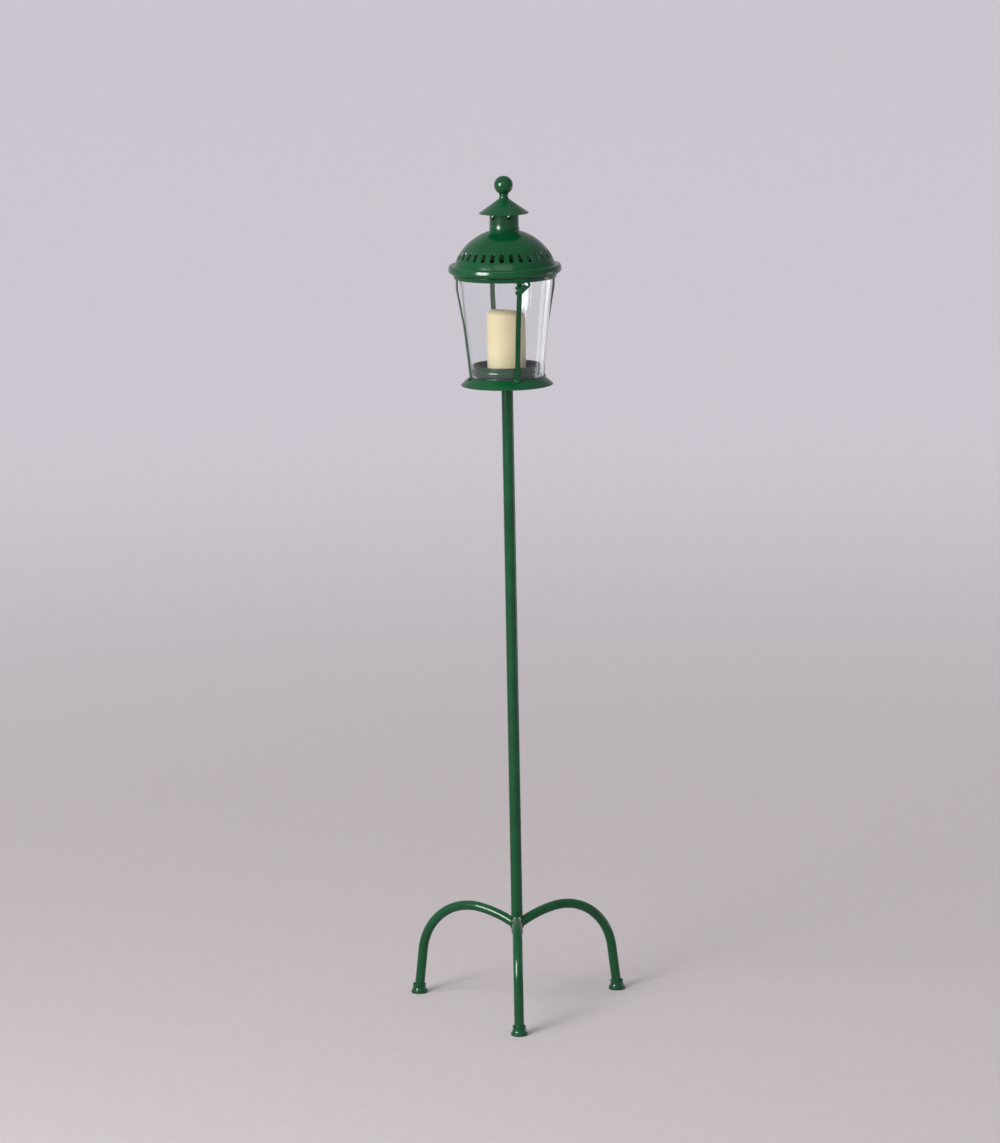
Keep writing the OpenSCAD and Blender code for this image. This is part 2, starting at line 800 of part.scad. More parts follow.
module candle() {
    pool_r = candle_d / 2 - 4;
    sphere_r = (pow(pool_r, 2) + pow(pool_depth, 2)) / 2 / pool_depth;
    color(wax) difference() {
        translate([0, 0, candle_z]) cylinder(d = candle_d, h = candle_h);
        translate([0, 0, candle_top - pool_depth + sphere_r]) sphere(r = sphere_r);
        wick_rod(fit_gap);
    }
}

module wick_rod(grow = 0) {
    buried = 8;
    translate([0, 0, candle_top - pool_depth - buried])
        cylinder(d = 2.2 + 2 * grow, h = buried + wick_h);
}

module wick() {
    color("#2b241c") wick_rod();
}

pole();
leg_front();
leg_right();
leg_left();
foot_front();
foot_right();
foot_left();
pole_bottom_plug();
pole_top_insert();
base_flange();
candle_cup();
mounting_screw();
glass_shade();
strap_front();
strap_right();
strap_back();
strap_left();
strap_foot_rivets();
strap_top_rivets();
top_ring();
hinge_ring_leaf();
hinge_pin();
catch_pivot();
lid_dome();
chimney();
chimney_cap();
cap_bridge();
finial_stud();
finial_neck();
finial_ball();
finial_nut();
hinge_lid_leaf();
lid_tongue();
keeper_stud();
catch_plate();
candle();
wick();
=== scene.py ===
"""Green enamelled candle lantern on a three-legged pole: finished pieces, materials, light and camera."""

import math

import bmesh
import bpy
from mathutils import Matrix, Vector


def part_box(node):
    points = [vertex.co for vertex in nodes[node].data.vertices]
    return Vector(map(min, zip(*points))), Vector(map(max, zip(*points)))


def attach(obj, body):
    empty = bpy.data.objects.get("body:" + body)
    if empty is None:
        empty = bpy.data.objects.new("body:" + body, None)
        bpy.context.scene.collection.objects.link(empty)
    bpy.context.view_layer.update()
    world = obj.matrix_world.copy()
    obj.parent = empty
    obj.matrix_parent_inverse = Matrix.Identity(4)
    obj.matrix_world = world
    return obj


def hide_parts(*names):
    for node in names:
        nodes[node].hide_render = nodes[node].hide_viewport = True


MM = 0.001

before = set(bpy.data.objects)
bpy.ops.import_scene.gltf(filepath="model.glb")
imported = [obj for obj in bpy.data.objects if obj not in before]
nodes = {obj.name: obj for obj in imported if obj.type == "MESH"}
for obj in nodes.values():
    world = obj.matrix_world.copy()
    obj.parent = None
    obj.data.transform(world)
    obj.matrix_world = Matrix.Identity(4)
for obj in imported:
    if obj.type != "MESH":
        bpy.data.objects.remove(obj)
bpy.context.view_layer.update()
scene = bpy.context.scene


# ---------------------------------------------------------------- sizes, in millimetres and degrees


def low(node, axis=2):
    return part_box(node)[0][axis] / MM


def high(node, axis=2):
    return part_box(node)[1][axis] / MM


def width(node):
    return high(node, 0) - low(node, 0)


def sin(degrees):
    return math.sin(math.radians(degrees))


def cos(degrees):
    return math.cos(math.radians(degrees))


def tan(degrees):
    return math.tan(math.radians(degrees))


AXIS = 0.01                    # radius at which a solid lathe starts, close to its axis
SEAT = low("candle_cup")       # top of the base flange, which carries the cup and the glass
SHEET = 1.2                    # thickness of the pole's wall and of flange, ring, dome and cap

# pole, legs, their welds and feet
LEGS = {"front": 0, "right": 120, "left": 240}    # compass angles
POLE_R = width("pole") / 2
POLE_RINGS = (280, 560)        # above the pole's lower end, so that its long faces shade evenly
LEG_R = 7.5
LEG_WALL = 1.2
LEG_REACH = 182
LEG_PEAK = 152
INNER_BEND = 190
OUTER_BEND = 93
SPLAY = 7.5
STRAIGHT_STEPS, OUTER_STEPS, INNER_STEPS = 4, 30, 16
WELD_R = 1.25
WELD_LIFT = 0.45
FOOT_FLOOR = 3
FOOT_WALL = 2.2
FOOT_BAND = 0.5
FOOT_SOCKET_GAP = 1.15
# (out from the foot's neck, height) of the hollow curve above its rim
FOOT_FLARE = ((1.1, 7.2), (0.35, 9.2), (0, 11.2), (0, 11.8))

# base flange, cup and glass
BRIM_DROP = 13.5
BRIM_W = 14.6
CUP_H = 17
CUP_WALL = 1
CUP_FOOT_IN = 6.6
CUP_LIP_R = 1.35
CUP_BEAD_AT = 0.58             # share of the cup's height
CUP_BEAD_OUT = 1.4
CUP_BEAD_HALF = 2.2
# (distance out, height) from the middle of the cup's bead: a rolled band that leans a little upwards
CUP_BEAD = ((0.75, -1.95), (1.2, -1.75), (CUP_BEAD_OUT, -1.4), (1.36, -0.8), (1.29, -0.2), (1.20, 0.4),
            (1.08, 1.0), (0.92, 1.5), (0.6, 1.85))
GLASS_FLARE = 6.3
GLASS_T = 2
GLASS_LIP = 0.9
GLASS_STEPS = 8

# straps, rivets and top ring
STRAPS = {"front": 0, "right": 90, "back": 180, "left": 270}
STRAP_TURN = 16
STRAP_T = 1.6
STRAP_W = 8
STRAP_GAP = 0.6                # between strap and glass
STRAP_EDGE = 0.55
STRAP_FOOT = 6
STRAP_BEND_DROP = 80           # from the ring's ledge down to the middle bend
STRAP_JOGGLE = 58              # from the middle bend up to where the strap turns upright
TAB_W = 10
TAB_H = 17
TAB_TAPER = 2.5
RIVET_R = 2.1
RIVET_H = 0.55
RIVET_AT = 0.55                # share of the strap's foot
UNDER_RIVET = (2.5, 1.0)       # radius and height of the heads under the flange
INNER_RIVET = (2.3, 0.8)       # and of those inside the straps' tops
RING_GAP = 2.7                 # from the glass's rim, past the strap, to the ring
RING_FIT = 0.15
SKIRT_H = 6.6
EDGE = 0.5                     # rounding of the ring's sheet edges

# lid: rolled bead, dome with its slots
BEAD_R = 6.6
BEAD_OVER = 1.2                # from the ring's outside to the middle of the bead
BEAD_UNDER = 0.3               # clearance between bead and ledge
BEAD_MEET = 2.5                # how far inside the bead's middle the dome's sheet runs into it
BEAD_SQUARE = 3.4              # how square the bead's upper outer quarter is; 2 is round
BEAD_ROUND = 2.4
BEAD_LEAN = math.radians(9)
DOME_OVER = 2.1
SLOTS = 30
SLOT_W = 6.7
SLOT_L = 14.6
SLOT_TILT = 32.5
SLOT_BAND = 7.5                # from the slots' middle to the edges of their band
SLOT_SOFT = 0.4
SLOT_ACROSS, SLOT_UP = 8, 12

# chimney, cap and finial
CHIMNEY_R = 22.5
CHIMNEY_WALL = 1.0
CHIMNEY_BEAD = 3.1             # above the dome
CHIMNEY_BEAD_R = 1.6
HOLES = 5
HOLE_D = 7
HOLE_TURN = 20.5
HOLE_DROP = 5.8                # below the cap's rim
HOLE_BAND = 5.2
HOLE_SPREAD = 7.0
HOLE_SOFT = 0.3
HOLE_ACROSS, HOLE_UP = 24, 8
CAP_RISE = 27.4                # of the cap's rim above the dome's top
CAP_SLOPE = 35.2
STUD_HOLE = 3.1
NECK_R = 7.1
NECK_WAIST = 0.55
NECK_LIP = 0.95

# candle and wick
CREST_TURN = math.radians(-52)
CREST_MEAN = 2.6               # below the candle's highest point
CREST_TILT = 2.1
POOL_EDGE = 14
POOL_BLEND = 7
POOL_DROP = 8.2
CANDLE_IN = 0.25               # how far the melted side stays inside the candle's own radius
CANDLE_LEVELS = 14
CANDLE_FOOT = 1.4
# (distance in from the side, fall below the crest)
CREST_FALL = ((0.1, 6.6), (0.5, 5.7), (1.2, 4.9), (2.4, 4.0), (4.2, 2.9), (6.4, 1.7), (8.6, 0.7),
              (10.5, 0.15), (12.0, 0.0), (13.4, 0.35), (15.0, 1.3), (17.0, 2.6), (19.5, 3.6), (23, 4.4),
              (28.5, 4.8))
WICK_R = 1.1
WICK_STEPS = 12

# ---------------------------------------------------------------- mesh helpers


def compass(angle):
    """Outward direction at a compass angle from the front (-Y) towards +X."""
    a = math.radians(angle)
    return Vector((math.sin(a), -math.cos(a), 0))


def across(angle):
    """The direction to a viewer's right who looks inwards at that compass angle."""
    a = math.radians(angle)
    return Vector((math.cos(a), math.sin(a), 0))


def turns(count):
    """Evenly spread angles of one full turn, in radians."""
    return [2 * math.pi * i / count for i in range(count)]


def piece(name, verts, faces, body, slot, stands_for=(), sharp=35):
    """A finished mesh, given in millimetres, that rides on a body and stands for CAD nodes."""
    mesh = bpy.data.meshes.new(name)
    mesh.from_pydata([Vector(v) * MM for v in verts], [], faces)
    bm = bmesh.new()
    bm.from_mesh(mesh)
    bmesh.ops.remove_doubles(bm, verts=bm.verts, dist=2e-6)
    bmesh.ops.dissolve_degenerate(bm, edges=bm.edges, dist=1e-7)
    bmesh.ops.recalc_face_normals(bm, faces=bm.faces)
    bm.to_mesh(mesh)
    bm.free()
    mesh.shade_smooth()
    mesh.set_sharp_from_angle(angle=math.radians(sharp))
    obj = bpy.data.objects.new(name, mesh)
    scene.collection.objects.link(obj)
    mesh.materials.append(MATERIALS[slot])
    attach(obj, body)
    if stands_for:
        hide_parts(*stands_for)
    return obj


def rounded(points, steps=5, closed=True):
    """Rounds the corners of an outline of (x, y) or (x, y, radius) points."""
    out = []
    n = len(points)
    for i, p in enumerate(points):
        r = p[2] if len(p) > 2 else 0
        here = Vector(p[:2])
        if r <= 0 or (not closed and i in (0, n - 1)):
            out.append(tuple(here))
            continue
        a = Vector(points[i - 1][:2]) - here
        b = Vector(points[(i + 1) % n][:2]) - here
        turn = a.angle(b)
        reach = min(r / math.tan(turn / 2), 0.49 * a.length, 0.49 * b.length)
        r = reach * math.tan(turn / 2)
        centre = here + (a.normalized() + b.normalized()).normalized() * (r / math.sin(turn / 2))
        start = here + a.normalized() * reach - centre
        swing = start.angle_signed(here + b.normalized() * reach - centre)
        for k in range(steps + 1):
            t = -swing * k / steps
            c, s = math.cos(t), math.sin(t)
            out.append((centre.x + start.x * c - start.y * s, centre.y + start.x * s + start.y * c))
    return out


def arc(cx, cy, r, start, end, steps):
    """Points on a circle, with the angles in degrees."""
    found = []
    for k in range(steps + 1):
        t = math.radians(start + (end - start) * k / steps)
        found.append((cx + r * math.cos(t), cy + r * math.sin(t)))
    return found


def grid(rows, wrap=True):
    """Vertices and quads of rows of points; each row closes on itself, and the rows too if wrap is set."""
    count = len(rows[0])
    verts = [p for row in rows for p in row]
    faces = []
    for j in range(len(rows) - (0 if wrap else 1)):
        k = (j + 1) % len(rows)
        for i in range(count):
            n = (i + 1) % count
            faces.append((j * count + i, j * count + n, k * count + n, k * count + i))
    return verts, faces


def lathe(profile, centre=(0, 0), segments=144, wrap=True, start=0):
    """Turns an outline of (radius, height) about a vertical axis, from the compass angle start."""
    rows = []
    for r, z in profile:
        ring = []
        for i in range(segments):
            a = start + 360 * i / segments
            ring.append((centre[0] + r * sin(a), centre[1] - r * cos(a), z))
        rows.append(ring)
    return grid(rows, wrap)


def join(*parts):
    verts, faces = [], []
    for v, f in parts:
        base = len(verts)
        verts += v
        faces += [tuple(base + i for i in face) for face in f]
    return verts, faces


def capped(rings):
    """Quads between cross-sections, and a face at each end."""
    verts, faces = grid(rings, wrap=False)
    count = len(rings[0])
    faces.append(tuple(range(count)))
    faces.append(tuple(len(verts) - count + i for i in range(count)))
    return verts, faces


# ---------------------------------------------------------------- materials


def material(name):
    mat = bpy.data.materials.new(name)
    mat.use_nodes = True
    tree = mat.node_tree
    return mat, tree, tree.nodes["Principled BSDF"]


def add(tree, kind, values=None, **sockets):
    node = tree.nodes.new(kind)
    for key, value in (values or {}).items():
        setattr(node, key, value)
    for key, value in sockets.items():
        node.inputs[key.replace("_", " ")].default_value = value
    return node


def noise(tree, scale, detail=3.0, rough=0.5, stretch=None):
    """Object-space noise, so that it stays with the piece in every view."""
    coords = add(tree, "ShaderNodeTexCoord")
    out = add(tree, "ShaderNodeTexNoise", Scale=scale, Detail=detail, Roughness=rough)
    source = coords.outputs["Object"]
    if stretch:
        mapping = add(tree, "ShaderNodeMapping", Scale=stretch)
        tree.links.new(source, mapping.inputs["Vector"])
        source = mapping.outputs["Vector"]
    tree.links.new(source, out.inputs["Vector"])
    return out.outputs["Fac"]


def ramp(tree, source, low_at, high_at, low_value=0.0, high_value=1.0):
    out = add(tree, "ShaderNodeMapRange", {"clamp": True}, From_Min=low_at, From_Max=high_at,
              To_Min=low_value, To_Max=high_value)
    tree.links.new(source, out.inputs["Value"])
    return out.outputs["Result"]


def blend(tree, factor, a, b):
    """Mixes two colours, each a value or a socket."""
    mix = add(tree, "ShaderNodeMix", {"data_type": "RGBA"})
    tree.links.new(factor, mix.inputs[0])
    for socket, value in ((mix.inputs[6], a), (mix.inputs[7], b)):
        if isinstance(value, bpy.types.NodeSocket):
            tree.links.new(value, socket)
        else:
            socket.default_value = (*value, 1)
    return mix.outputs[2]


def maths(tree, operation, a, b, clamp=False):
    out = add(tree, "ShaderNodeMath", {"operation": operation, "use_clamp": clamp})
    tree.links.new(a, out.inputs[0])
    tree.links.new(b, out.inputs[1])
    return out.outputs[0]


def product(tree, a, b):
    return maths(tree, "MULTIPLY", a, b)


def bump(tree, shader, height, strength, distance, under=None):
    node = add(tree, "ShaderNodeBump", Strength=strength, Distance=distance)
    tree.links.new(height, node.inputs["Height"])
    if under:
        tree.links.new(under, node.inputs["Normal"])
    tree.links.new(node.outputs["Normal"], shader.inputs["Normal"])
    return node.outputs["Normal"]


def edges(tree, low_at=0.52, high_at=0.6):
    """High on convex edges, broken up by noise."""
    geometry = add(tree, "ShaderNodeNewGeometry")
    worn = ramp(tree, geometry.outputs["Pointiness"], low_at, high_at)
    return product(tree, worn, ramp(tree, noise(tree, 240, 4), 0.45, 0.62))


def object_point(tree):
    """The object-space point, and its X, Y and Z."""
    coords = add(tree, "ShaderNodeTexCoord")
    split = add(tree, "ShaderNodeSeparateXYZ")
    tree.links.new(coords.outputs["Object"], split.inputs[0])
    return coords.outputs["Object"], split.outputs


ENAMEL_DEEP = (0.0015, 0.058, 0.0180)
ENAMEL_LIGHT = (0.0032, 0.080, 0.0250)
CHIPPED = (0.10, 0.16, 0.10)
# colour of the soot and painted shade in and under the cup
SOOT_AND_SHADE = (0.0035, 0.0060, 0.0045)
# distances from the axis, in millimetres, at which the soot and painted shade start and are full
CUP_SOOT_AND_SHADE_R = (51.9, 51.5)
GLASS_SOOT_AND_SHADE_R = (55.5, 54.5)
OUTER_SOOT_AND_SHADE = 0.4
GLOSS = 0.16
CHIP_AMOUNT = 0.55


def soot_and_painted_shade(tree):
    """Soot and painted shade: high inside the cup and in the gap between its foot and the glass, and part of
    that on its outside; the gap's part is painted shade only.
    """
    point, axes = object_point(tree)
    flat = add(tree, "ShaderNodeVectorMath", {"operation": "MULTIPLY"})
    flat.inputs[1].default_value = (1, 1, 0)
    tree.links.new(point, flat.inputs[0])
    from_axis = add(tree, "ShaderNodeVectorMath", {"operation": "LENGTH"})
    tree.links.new(flat.outputs[0], from_axis.inputs[0])

    def within(radii, start, full, most=1.0):
        near = ramp(tree, from_axis.outputs["Value"], radii[0] * MM, radii[1] * MM, 0, most)
        return product(tree, near, ramp(tree, axes["Z"], (SEAT + start) * MM, (SEAT + full) * MM))

    in_cup = within(CUP_SOOT_AND_SHADE_R, CUP_H, CUP_H - 2)
    in_gap = within(GLASS_SOOT_AND_SHADE_R, 4.2, 3.4)
    on_cup = within(GLASS_SOOT_AND_SHADE_R, CUP_H + 2, CUP_H, OUTER_SOOT_AND_SHADE)
    most = maths(tree, "MAXIMUM", maths(tree, "MAXIMUM", in_cup, in_gap), on_cup)
    above_seat = ramp(tree, axes["Z"], (SEAT - 0.4) * MM, (SEAT - 0.1) * MM)
    patchy = ramp(tree, noise(tree, 70, 4), 0.25, 0.6, 0.7, 1.0)
    return product(tree, product(tree, above_seat, most), patchy)


def enamel():
    """Thick glossy paint over steel, with orange peel, uneven depth, chipped edges, and soot with painted
    shade in and under the cup.
    """
    mat, tree, shader = material("green_enamel")
    colour = blend(tree, ramp(tree, noise(tree, 22, 4), 0.35, 0.68), ENAMEL_DEEP, ENAMEL_LIGHT)
    speck = ramp(tree, noise(tree, 900, 2), 0.62, 0.72, 0, 0.35)
    colour = blend(tree, speck, colour, tuple(c * 0.55 for c in ENAMEL_DEEP))
    chips = product(tree, edges(tree), ramp(tree, noise(tree, 60, 3), 0.4, 0.6, 0, CHIP_AMOUNT))
    colour = blend(tree, chips, colour, CHIPPED)
    # painted shade, with some soot, darkens the paint inside the cup, in the gap under it and on its outside
    colour = blend(tree, soot_and_painted_shade(tree), colour, SOOT_AND_SHADE)
    tree.links.new(colour, shader.inputs["Base Color"])
    rough = ramp(tree, noise(tree, 45, 4, 0.6), 0.3, 0.75, GLOSS * 0.75, GLOSS * 1.6)
    tree.links.new(rough, shader.inputs["Roughness"])
    shader.inputs["Coat Weight"].default_value = 0.22
    shader.inputs["Coat Roughness"].default_value = 0.06
    shader.inputs["Specular IOR Level"].default_value = 0.22
    peel = bump(tree, shader, noise(tree, 420, 2), 0.10, 0.0006)
    bump(tree, shader, noise(tree, 60, 2), 0.12, 0.002, peel)
    return mat


def steel():
    mat, tree, shader = material("bare_steel")
    colour = blend(tree, ramp(tree, noise(tree, 70, 4), 0.35, 0.7), (0.46, 0.46, 0.45), (0.62, 0.62, 0.61))
    spots = ramp(tree, noise(tree, 260, 5), 0.62, 0.75, 0, 0.6)
    tree.links.new(blend(tree, spots, colour, (0.23, 0.14, 0.08)), shader.inputs["Base Color"])
    shader.inputs["Metallic"].default_value = 1.0
    tree.links.new(ramp(tree, noise(tree, 180, 3), 0.3, 0.7, 0.22, 0.45), shader.inputs["Roughness"])
    bump(tree, shader, noise(tree, 500, 3), 0.15, 0.0003)
    return mat


def glass():
    """Clear pressed glass, faintly wavy.

    Seen straight it refracts; to shadows, and to light bounced off the pieces inside it, it is simply clear.
    """
    mat, tree, shader = material("clear_glass")
    tint = blend(tree, ramp(tree, noise(tree, 12, 2), 0.3, 0.7), (0.955, 0.985, 0.975), (0.985, 0.995, 0.99))
    tree.links.new(tint, shader.inputs["Base Color"])
    smear = ramp(tree, noise(tree, 16, 5, 0.65), 0.52, 0.78, 0.0, 0.06)
    tree.links.new(smear, shader.inputs["Roughness"])
    shader.inputs["IOR"].default_value = 1.47
    shader.inputs["Transmission Weight"].default_value = 1.0
    bump(tree, shader, noise(tree, 9, 1, 0.4, (1, 1, 0.35)), 0.10, 0.004)
    clear = add(tree, "ShaderNodeBsdfTransparent")
    clear.inputs["Color"].default_value = (0.93, 0.955, 0.945, 1)
    path = add(tree, "ShaderNodeLightPath").outputs
    mix = add(tree, "ShaderNodeMixShader")
    mirrored = maths(tree, "SUBTRACT", path["Is Glossy Ray"], path["Is Transmission Ray"], clamp=True)
    bounced = maths(tree, "ADD", path["Is Diffuse Ray"], mirrored, clamp=True)
    not_seen = maths(tree, "ADD", path["Is Shadow Ray"], bounced, clamp=True)
    tree.links.new(not_seen, mix.inputs[0])
    tree.links.new(shader.outputs[0], mix.inputs[1])
    tree.links.new(clear.outputs[0], mix.inputs[2])
    tree.links.new(mix.outputs[0], tree.nodes["Material Output"].inputs["Surface"])
    return mat


# top and depth of the painted glow, by which the wax is painted lighter towards its top
PAINTED_GLOW_TOP = 104.3               # millimetres above the seat
PAINTED_GLOW_DEPTH = 30


def wax():
    """Soft cream wax, painted a little brighter towards the top: a painted glow."""
    mat, tree, shader = material("candle_wax")
    colour = blend(tree, ramp(tree, noise(tree, 26, 4), 0.3, 0.72), (0.76, 0.63, 0.40), (0.84, 0.71, 0.47))
    _point, axes = object_point(tree)
    # painted glow: the wax's colour is lightened towards the top
    glow = ramp(tree, axes["Z"], (SEAT + PAINTED_GLOW_TOP - PAINTED_GLOW_DEPTH) * MM, (SEAT + PAINTED_GLOW_TOP) * MM, 0, 0.5)
    colour = blend(tree, glow, colour, (0.86, 0.71, 0.45))
    tree.links.new(colour, shader.inputs["Base Color"])
    tree.links.new(ramp(tree, noise(tree, 90, 4), 0.3, 0.7, 0.34, 0.55), shader.inputs["Roughness"])
    shader.inputs["Subsurface Weight"].default_value = 0.45
    shader.inputs["Subsurface Radius"].default_value = (1.0, 0.6, 0.3)
    shader.inputs["Subsurface Scale"].default_value = 0.006
    shader.inputs["Specular IOR Level"].default_value = 0.12
    waves = bump(tree, shader, noise(tree, 30, 3), 0.25, 0.0015)
    bump(tree, shader, noise(tree, 420, 3), 0.12, 0.0003, waves)
    return mat


def char():
    mat, tree, shader = material("wick")
    colour = blend(tree, ramp(tree, noise(tree, 900, 4), 0.4, 0.6), (0.012, 0.010, 0.008), (0.05, 0.04, 0.03))
    tree.links.new(colour, shader.inputs["Base Color"])
    tree.links.new(ramp(tree, noise(tree, 1500, 3), 0.3, 0.7, 0.75, 0.95), shader.inputs["Roughness"])
    bump(tree, shader, noise(tree, 2200, 3), 0.5, 0.0004)
    return mat


def floor_paint():
    """Plain pale floor, a little deeper in tone close to the lamp, where the key light falls."""
    mat, tree, shader = material("floor")
    mottle = blend(tree, ramp(tree, noise(tree, 40, 3), 0.3, 0.7), (0.97, 0.97, 0.97), (1.0, 1.0, 1.0))
    coords = add(tree, "ShaderNodeTexCoord")
    length = add(tree, "ShaderNodeVectorMath", {"operation": "LENGTH"})
    tree.links.new(coords.outputs["Object"], length.inputs[0])
    away = add(tree, "ShaderNodeMapRange", {"interpolation_type": "SMOOTHERSTEP"}, From_Min=0.3, From_Max=7.0)
    tree.links.new(length.outputs["Value"], away.inputs["Value"])
    tone = blend(tree, away.outputs["Result"], (0.545, 0.505, 0.510), (0.770, 0.735, 0.790))
    colour = add(tree, "ShaderNodeMix", {"data_type": "RGBA", "blend_type": "MULTIPLY"})
    colour.inputs[0].default_value = 1.0
    tree.links.new(tone, colour.inputs[6])
    tree.links.new(mottle, colour.inputs[7])
    tree.links.new(colour.outputs[2], shader.inputs["Base Color"])
    shader.inputs["Roughness"].default_value = 0.8
    shader.inputs["Specular IOR Level"].default_value = 0.2
    bump(tree, shader, noise(tree, 300, 3), 0.04, 0.0004)
    return mat


STEEL_NODES = ("pole_top_insert", "mounting_screw", "hinge_pin", "cap_bridge", "finial_stud", "finial_nut")
MATERIALS = {"green_enamel": enamel(), "bare_steel": steel(), "clear_glass": glass(), "candle_wax": wax(),
             "wick": char()}
SLOT_OF = dict.fromkeys(STEEL_NODES, "bare_steel")
SLOT_OF |= {"glass_shade": "clear_glass", "candle": "candle_wax", "wick": "wick"}
for name, obj in nodes.items():
    mat = MATERIALS[SLOT_OF.get(name, "green_enamel")]
    if not obj.material_slots:
        obj.data.materials.append(mat)
    for slot in obj.material_slots:
        slot.material = mat

# ---------------------------------------------------------------- camera, floor and light

FRAME_H = 1143                 # pixels
FOCAL_PX = 5400
SENSOR = 36
CAMERA_BACK = 8.238            # metres
CAMERA_UP = 2.175
CAMERA_SIDE = -0.0164
PITCH = 10.2
ROLL = 1.08

cam_data = bpy.data.cameras.new("camera")
cam_data.sensor_width = SENSOR
cam_data.lens = FOCAL_PX / FRAME_H * SENSOR
cam_data.clip_end = 200
camera = bpy.data.objects.new("camera", cam_data)
scene.collection.objects.link(camera)
camera.matrix_world = (Matrix.Translation((CAMERA_SIDE, -CAMERA_BACK, CAMERA_UP))
                       @ Matrix.Rotation(math.radians(90 - PITCH), 4, "X")
                       @ Matrix.Rotation(math.radians(-ROLL), 4, "Z"))
scene.camera = camera

FLOOR_RINGS = (0.001, 0.2, 0.5, 1, 2, 4, 8, 16, 32, 60)    # metres
FLOOR_Z = -0.0002
verts, faces = lathe([(r, FLOOR_Z) for r in FLOOR_RINGS], segments=72, wrap=False)
floor_mesh = bpy.data.meshes.new("floor")
floor_mesh.from_pydata(verts, [], faces)
floor_mesh.materials.append(floor_paint())
floor = bpy.data.objects.new("floor", floor_mesh)
scene.collection.objects.link(floor)


def skyward(azimuth, elevation):
    """Direction at a compass angle and a height above the horizon."""
    return compass(azimuth) * cos(elevation) + Vector((0, 0, sin(elevation)))


def area_light(name, azimuth, elevation, distance, size, power, colour, aim_z, reflected):
    """A lamp that is either only reflected, or lights surfaces and isn't reflected."""
    data = bpy.data.lights.new(name, "AREA")
    data.shape = "RECTANGLE"
    data.size, data.size_y = size
    data.energy = power
    data.color = colour
    obj = bpy.data.objects.new(name, data)
    scene.collection.objects.link(obj)
    out = skyward(azimuth, elevation)
    obj.location = Vector((0, 0, aim_z)) + out * distance
    obj.rotation_euler = out.to_track_quat("Z", "Y").to_euler()
    obj.visible_transmission = False
    obj.visible_glossy = reflected
    obj.visible_diffuse = not reflected


area_light("key", -38, 14, 3.6, (1.1, 2.2), 80, (1.0, 0.985, 0.96), 1.15, reflected=False)
area_light("window", -47, 14.5, 3.6, (1.5, 1.65), 225, (1.0, 0.99, 0.98), 1.15, reflected=True)
area_light("pane", 106, -17, 2.2, (0.55, 0.8), 3.2, (0.98, 0.98, 1.0), 1.08, reflected=True)
area_light("glow", -4, 36, 3.6, (2.4, 0.9), 12, (0.98, 1.0, 0.99), 1.15, reflected=True)

sun_data = bpy.data.lights.new("sun", "SUN")
sun_data.energy = 1.35
sun_data.angle = math.radians(35)
sun_data.color = (1.0, 0.985, 0.97)
sun = bpy.data.objects.new("sun", sun_data)
scene.collection.objects.link(sun)
sun.rotation_euler = skyward(-48, 52).to_track_quat("Z", "Y").to_euler()
sun.visible_glossy = False
sun.visible_transmission = False

SKY_LEFT, SKY_RIGHT = (0.66, 0.64, 0.68), (0.42, 0.41, 0.45)
HORIZON = (0.718, 0.672, 0.742)
HORIZON_TOP = 0.10
world = bpy.data.worlds.new("room")
scene.world = world
world.use_nodes = True
tree = world.node_tree
coords = add(tree, "ShaderNodeTexCoord")
split = add(tree, "ShaderNodeSeparateXYZ")
tree.links.new(coords.outputs["Generated"], split.inputs[0])
sky = blend(tree, ramp(tree, split.outputs["X"], -0.9, 0.9), SKY_LEFT, SKY_RIGHT)
sky = blend(tree, ramp(tree, split.outputs["Z"], 0.0, HORIZON_TOP), HORIZON, sky)
tree.links.new(sky, tree.nodes["Background"].inputs["Color"])
tree.nodes["Background"].inputs["Strength"].default_value = 0.85
scene.view_settings.view_transform = "Standard"

# ---------------------------------------------------------------- pole, legs and feet

pole_low, pole_high = low("pole"), high("pole")
bore = POLE_R - SHEET
piece("pole_tube", *lathe(rounded(
    [(bore, pole_low), (POLE_R, pole_low, 0.3)] + [(POLE_R, pole_low + up) for up in POLE_RINGS]
    + [(POLE_R, pole_high, 0.3), (bore, pole_high)]), segments=96),
    "stand", "green_enamel", ["pole"])

BEND_Z = LEG_PEAK - OUTER_BEND
END_Z = BEND_Z + OUTER_BEND * sin(SPLAY)
BEND_U = LEG_REACH - OUTER_BEND * cos(SPLAY) - END_Z * tan(SPLAY)
TIP_Z = FOOT_FLOOR + LEG_R * sin(SPLAY)
STRAIGHT = (END_Z - TIP_Z) / cos(SPLAY)


def leg_place(x, z):
    """From the leaning frame of the leg's bends to (distance from the axis, height)."""
    return BEND_U + x * cos(SPLAY) - z * sin(SPLAY), BEND_Z + x * sin(SPLAY) + z * cos(SPLAY)


def leg_point(turn, theta, r):
    """Point (out, up, sideways) of the inner bend: turn past the peak in degrees, theta round the tube."""
    reach = INNER_BEND + r * math.cos(theta)
    u, z = leg_place(reach * cos(90 + turn), OUTER_BEND - INNER_BEND + reach * sin(90 + turn))
    return u, z, r * math.sin(theta)


def coped_turn(theta, r):
    """How far past the peak the tube's side at theta runs before it meets the pole."""
    near, far = 0.0, 60.0
    for _ in range(40):
        mid = (near + far) / 2
        u, _z, v = leg_point(mid, theta, r)
        if u > 0 and math.hypot(u, v) > POLE_R:
            near = mid
        else:
            far = mid
    return near


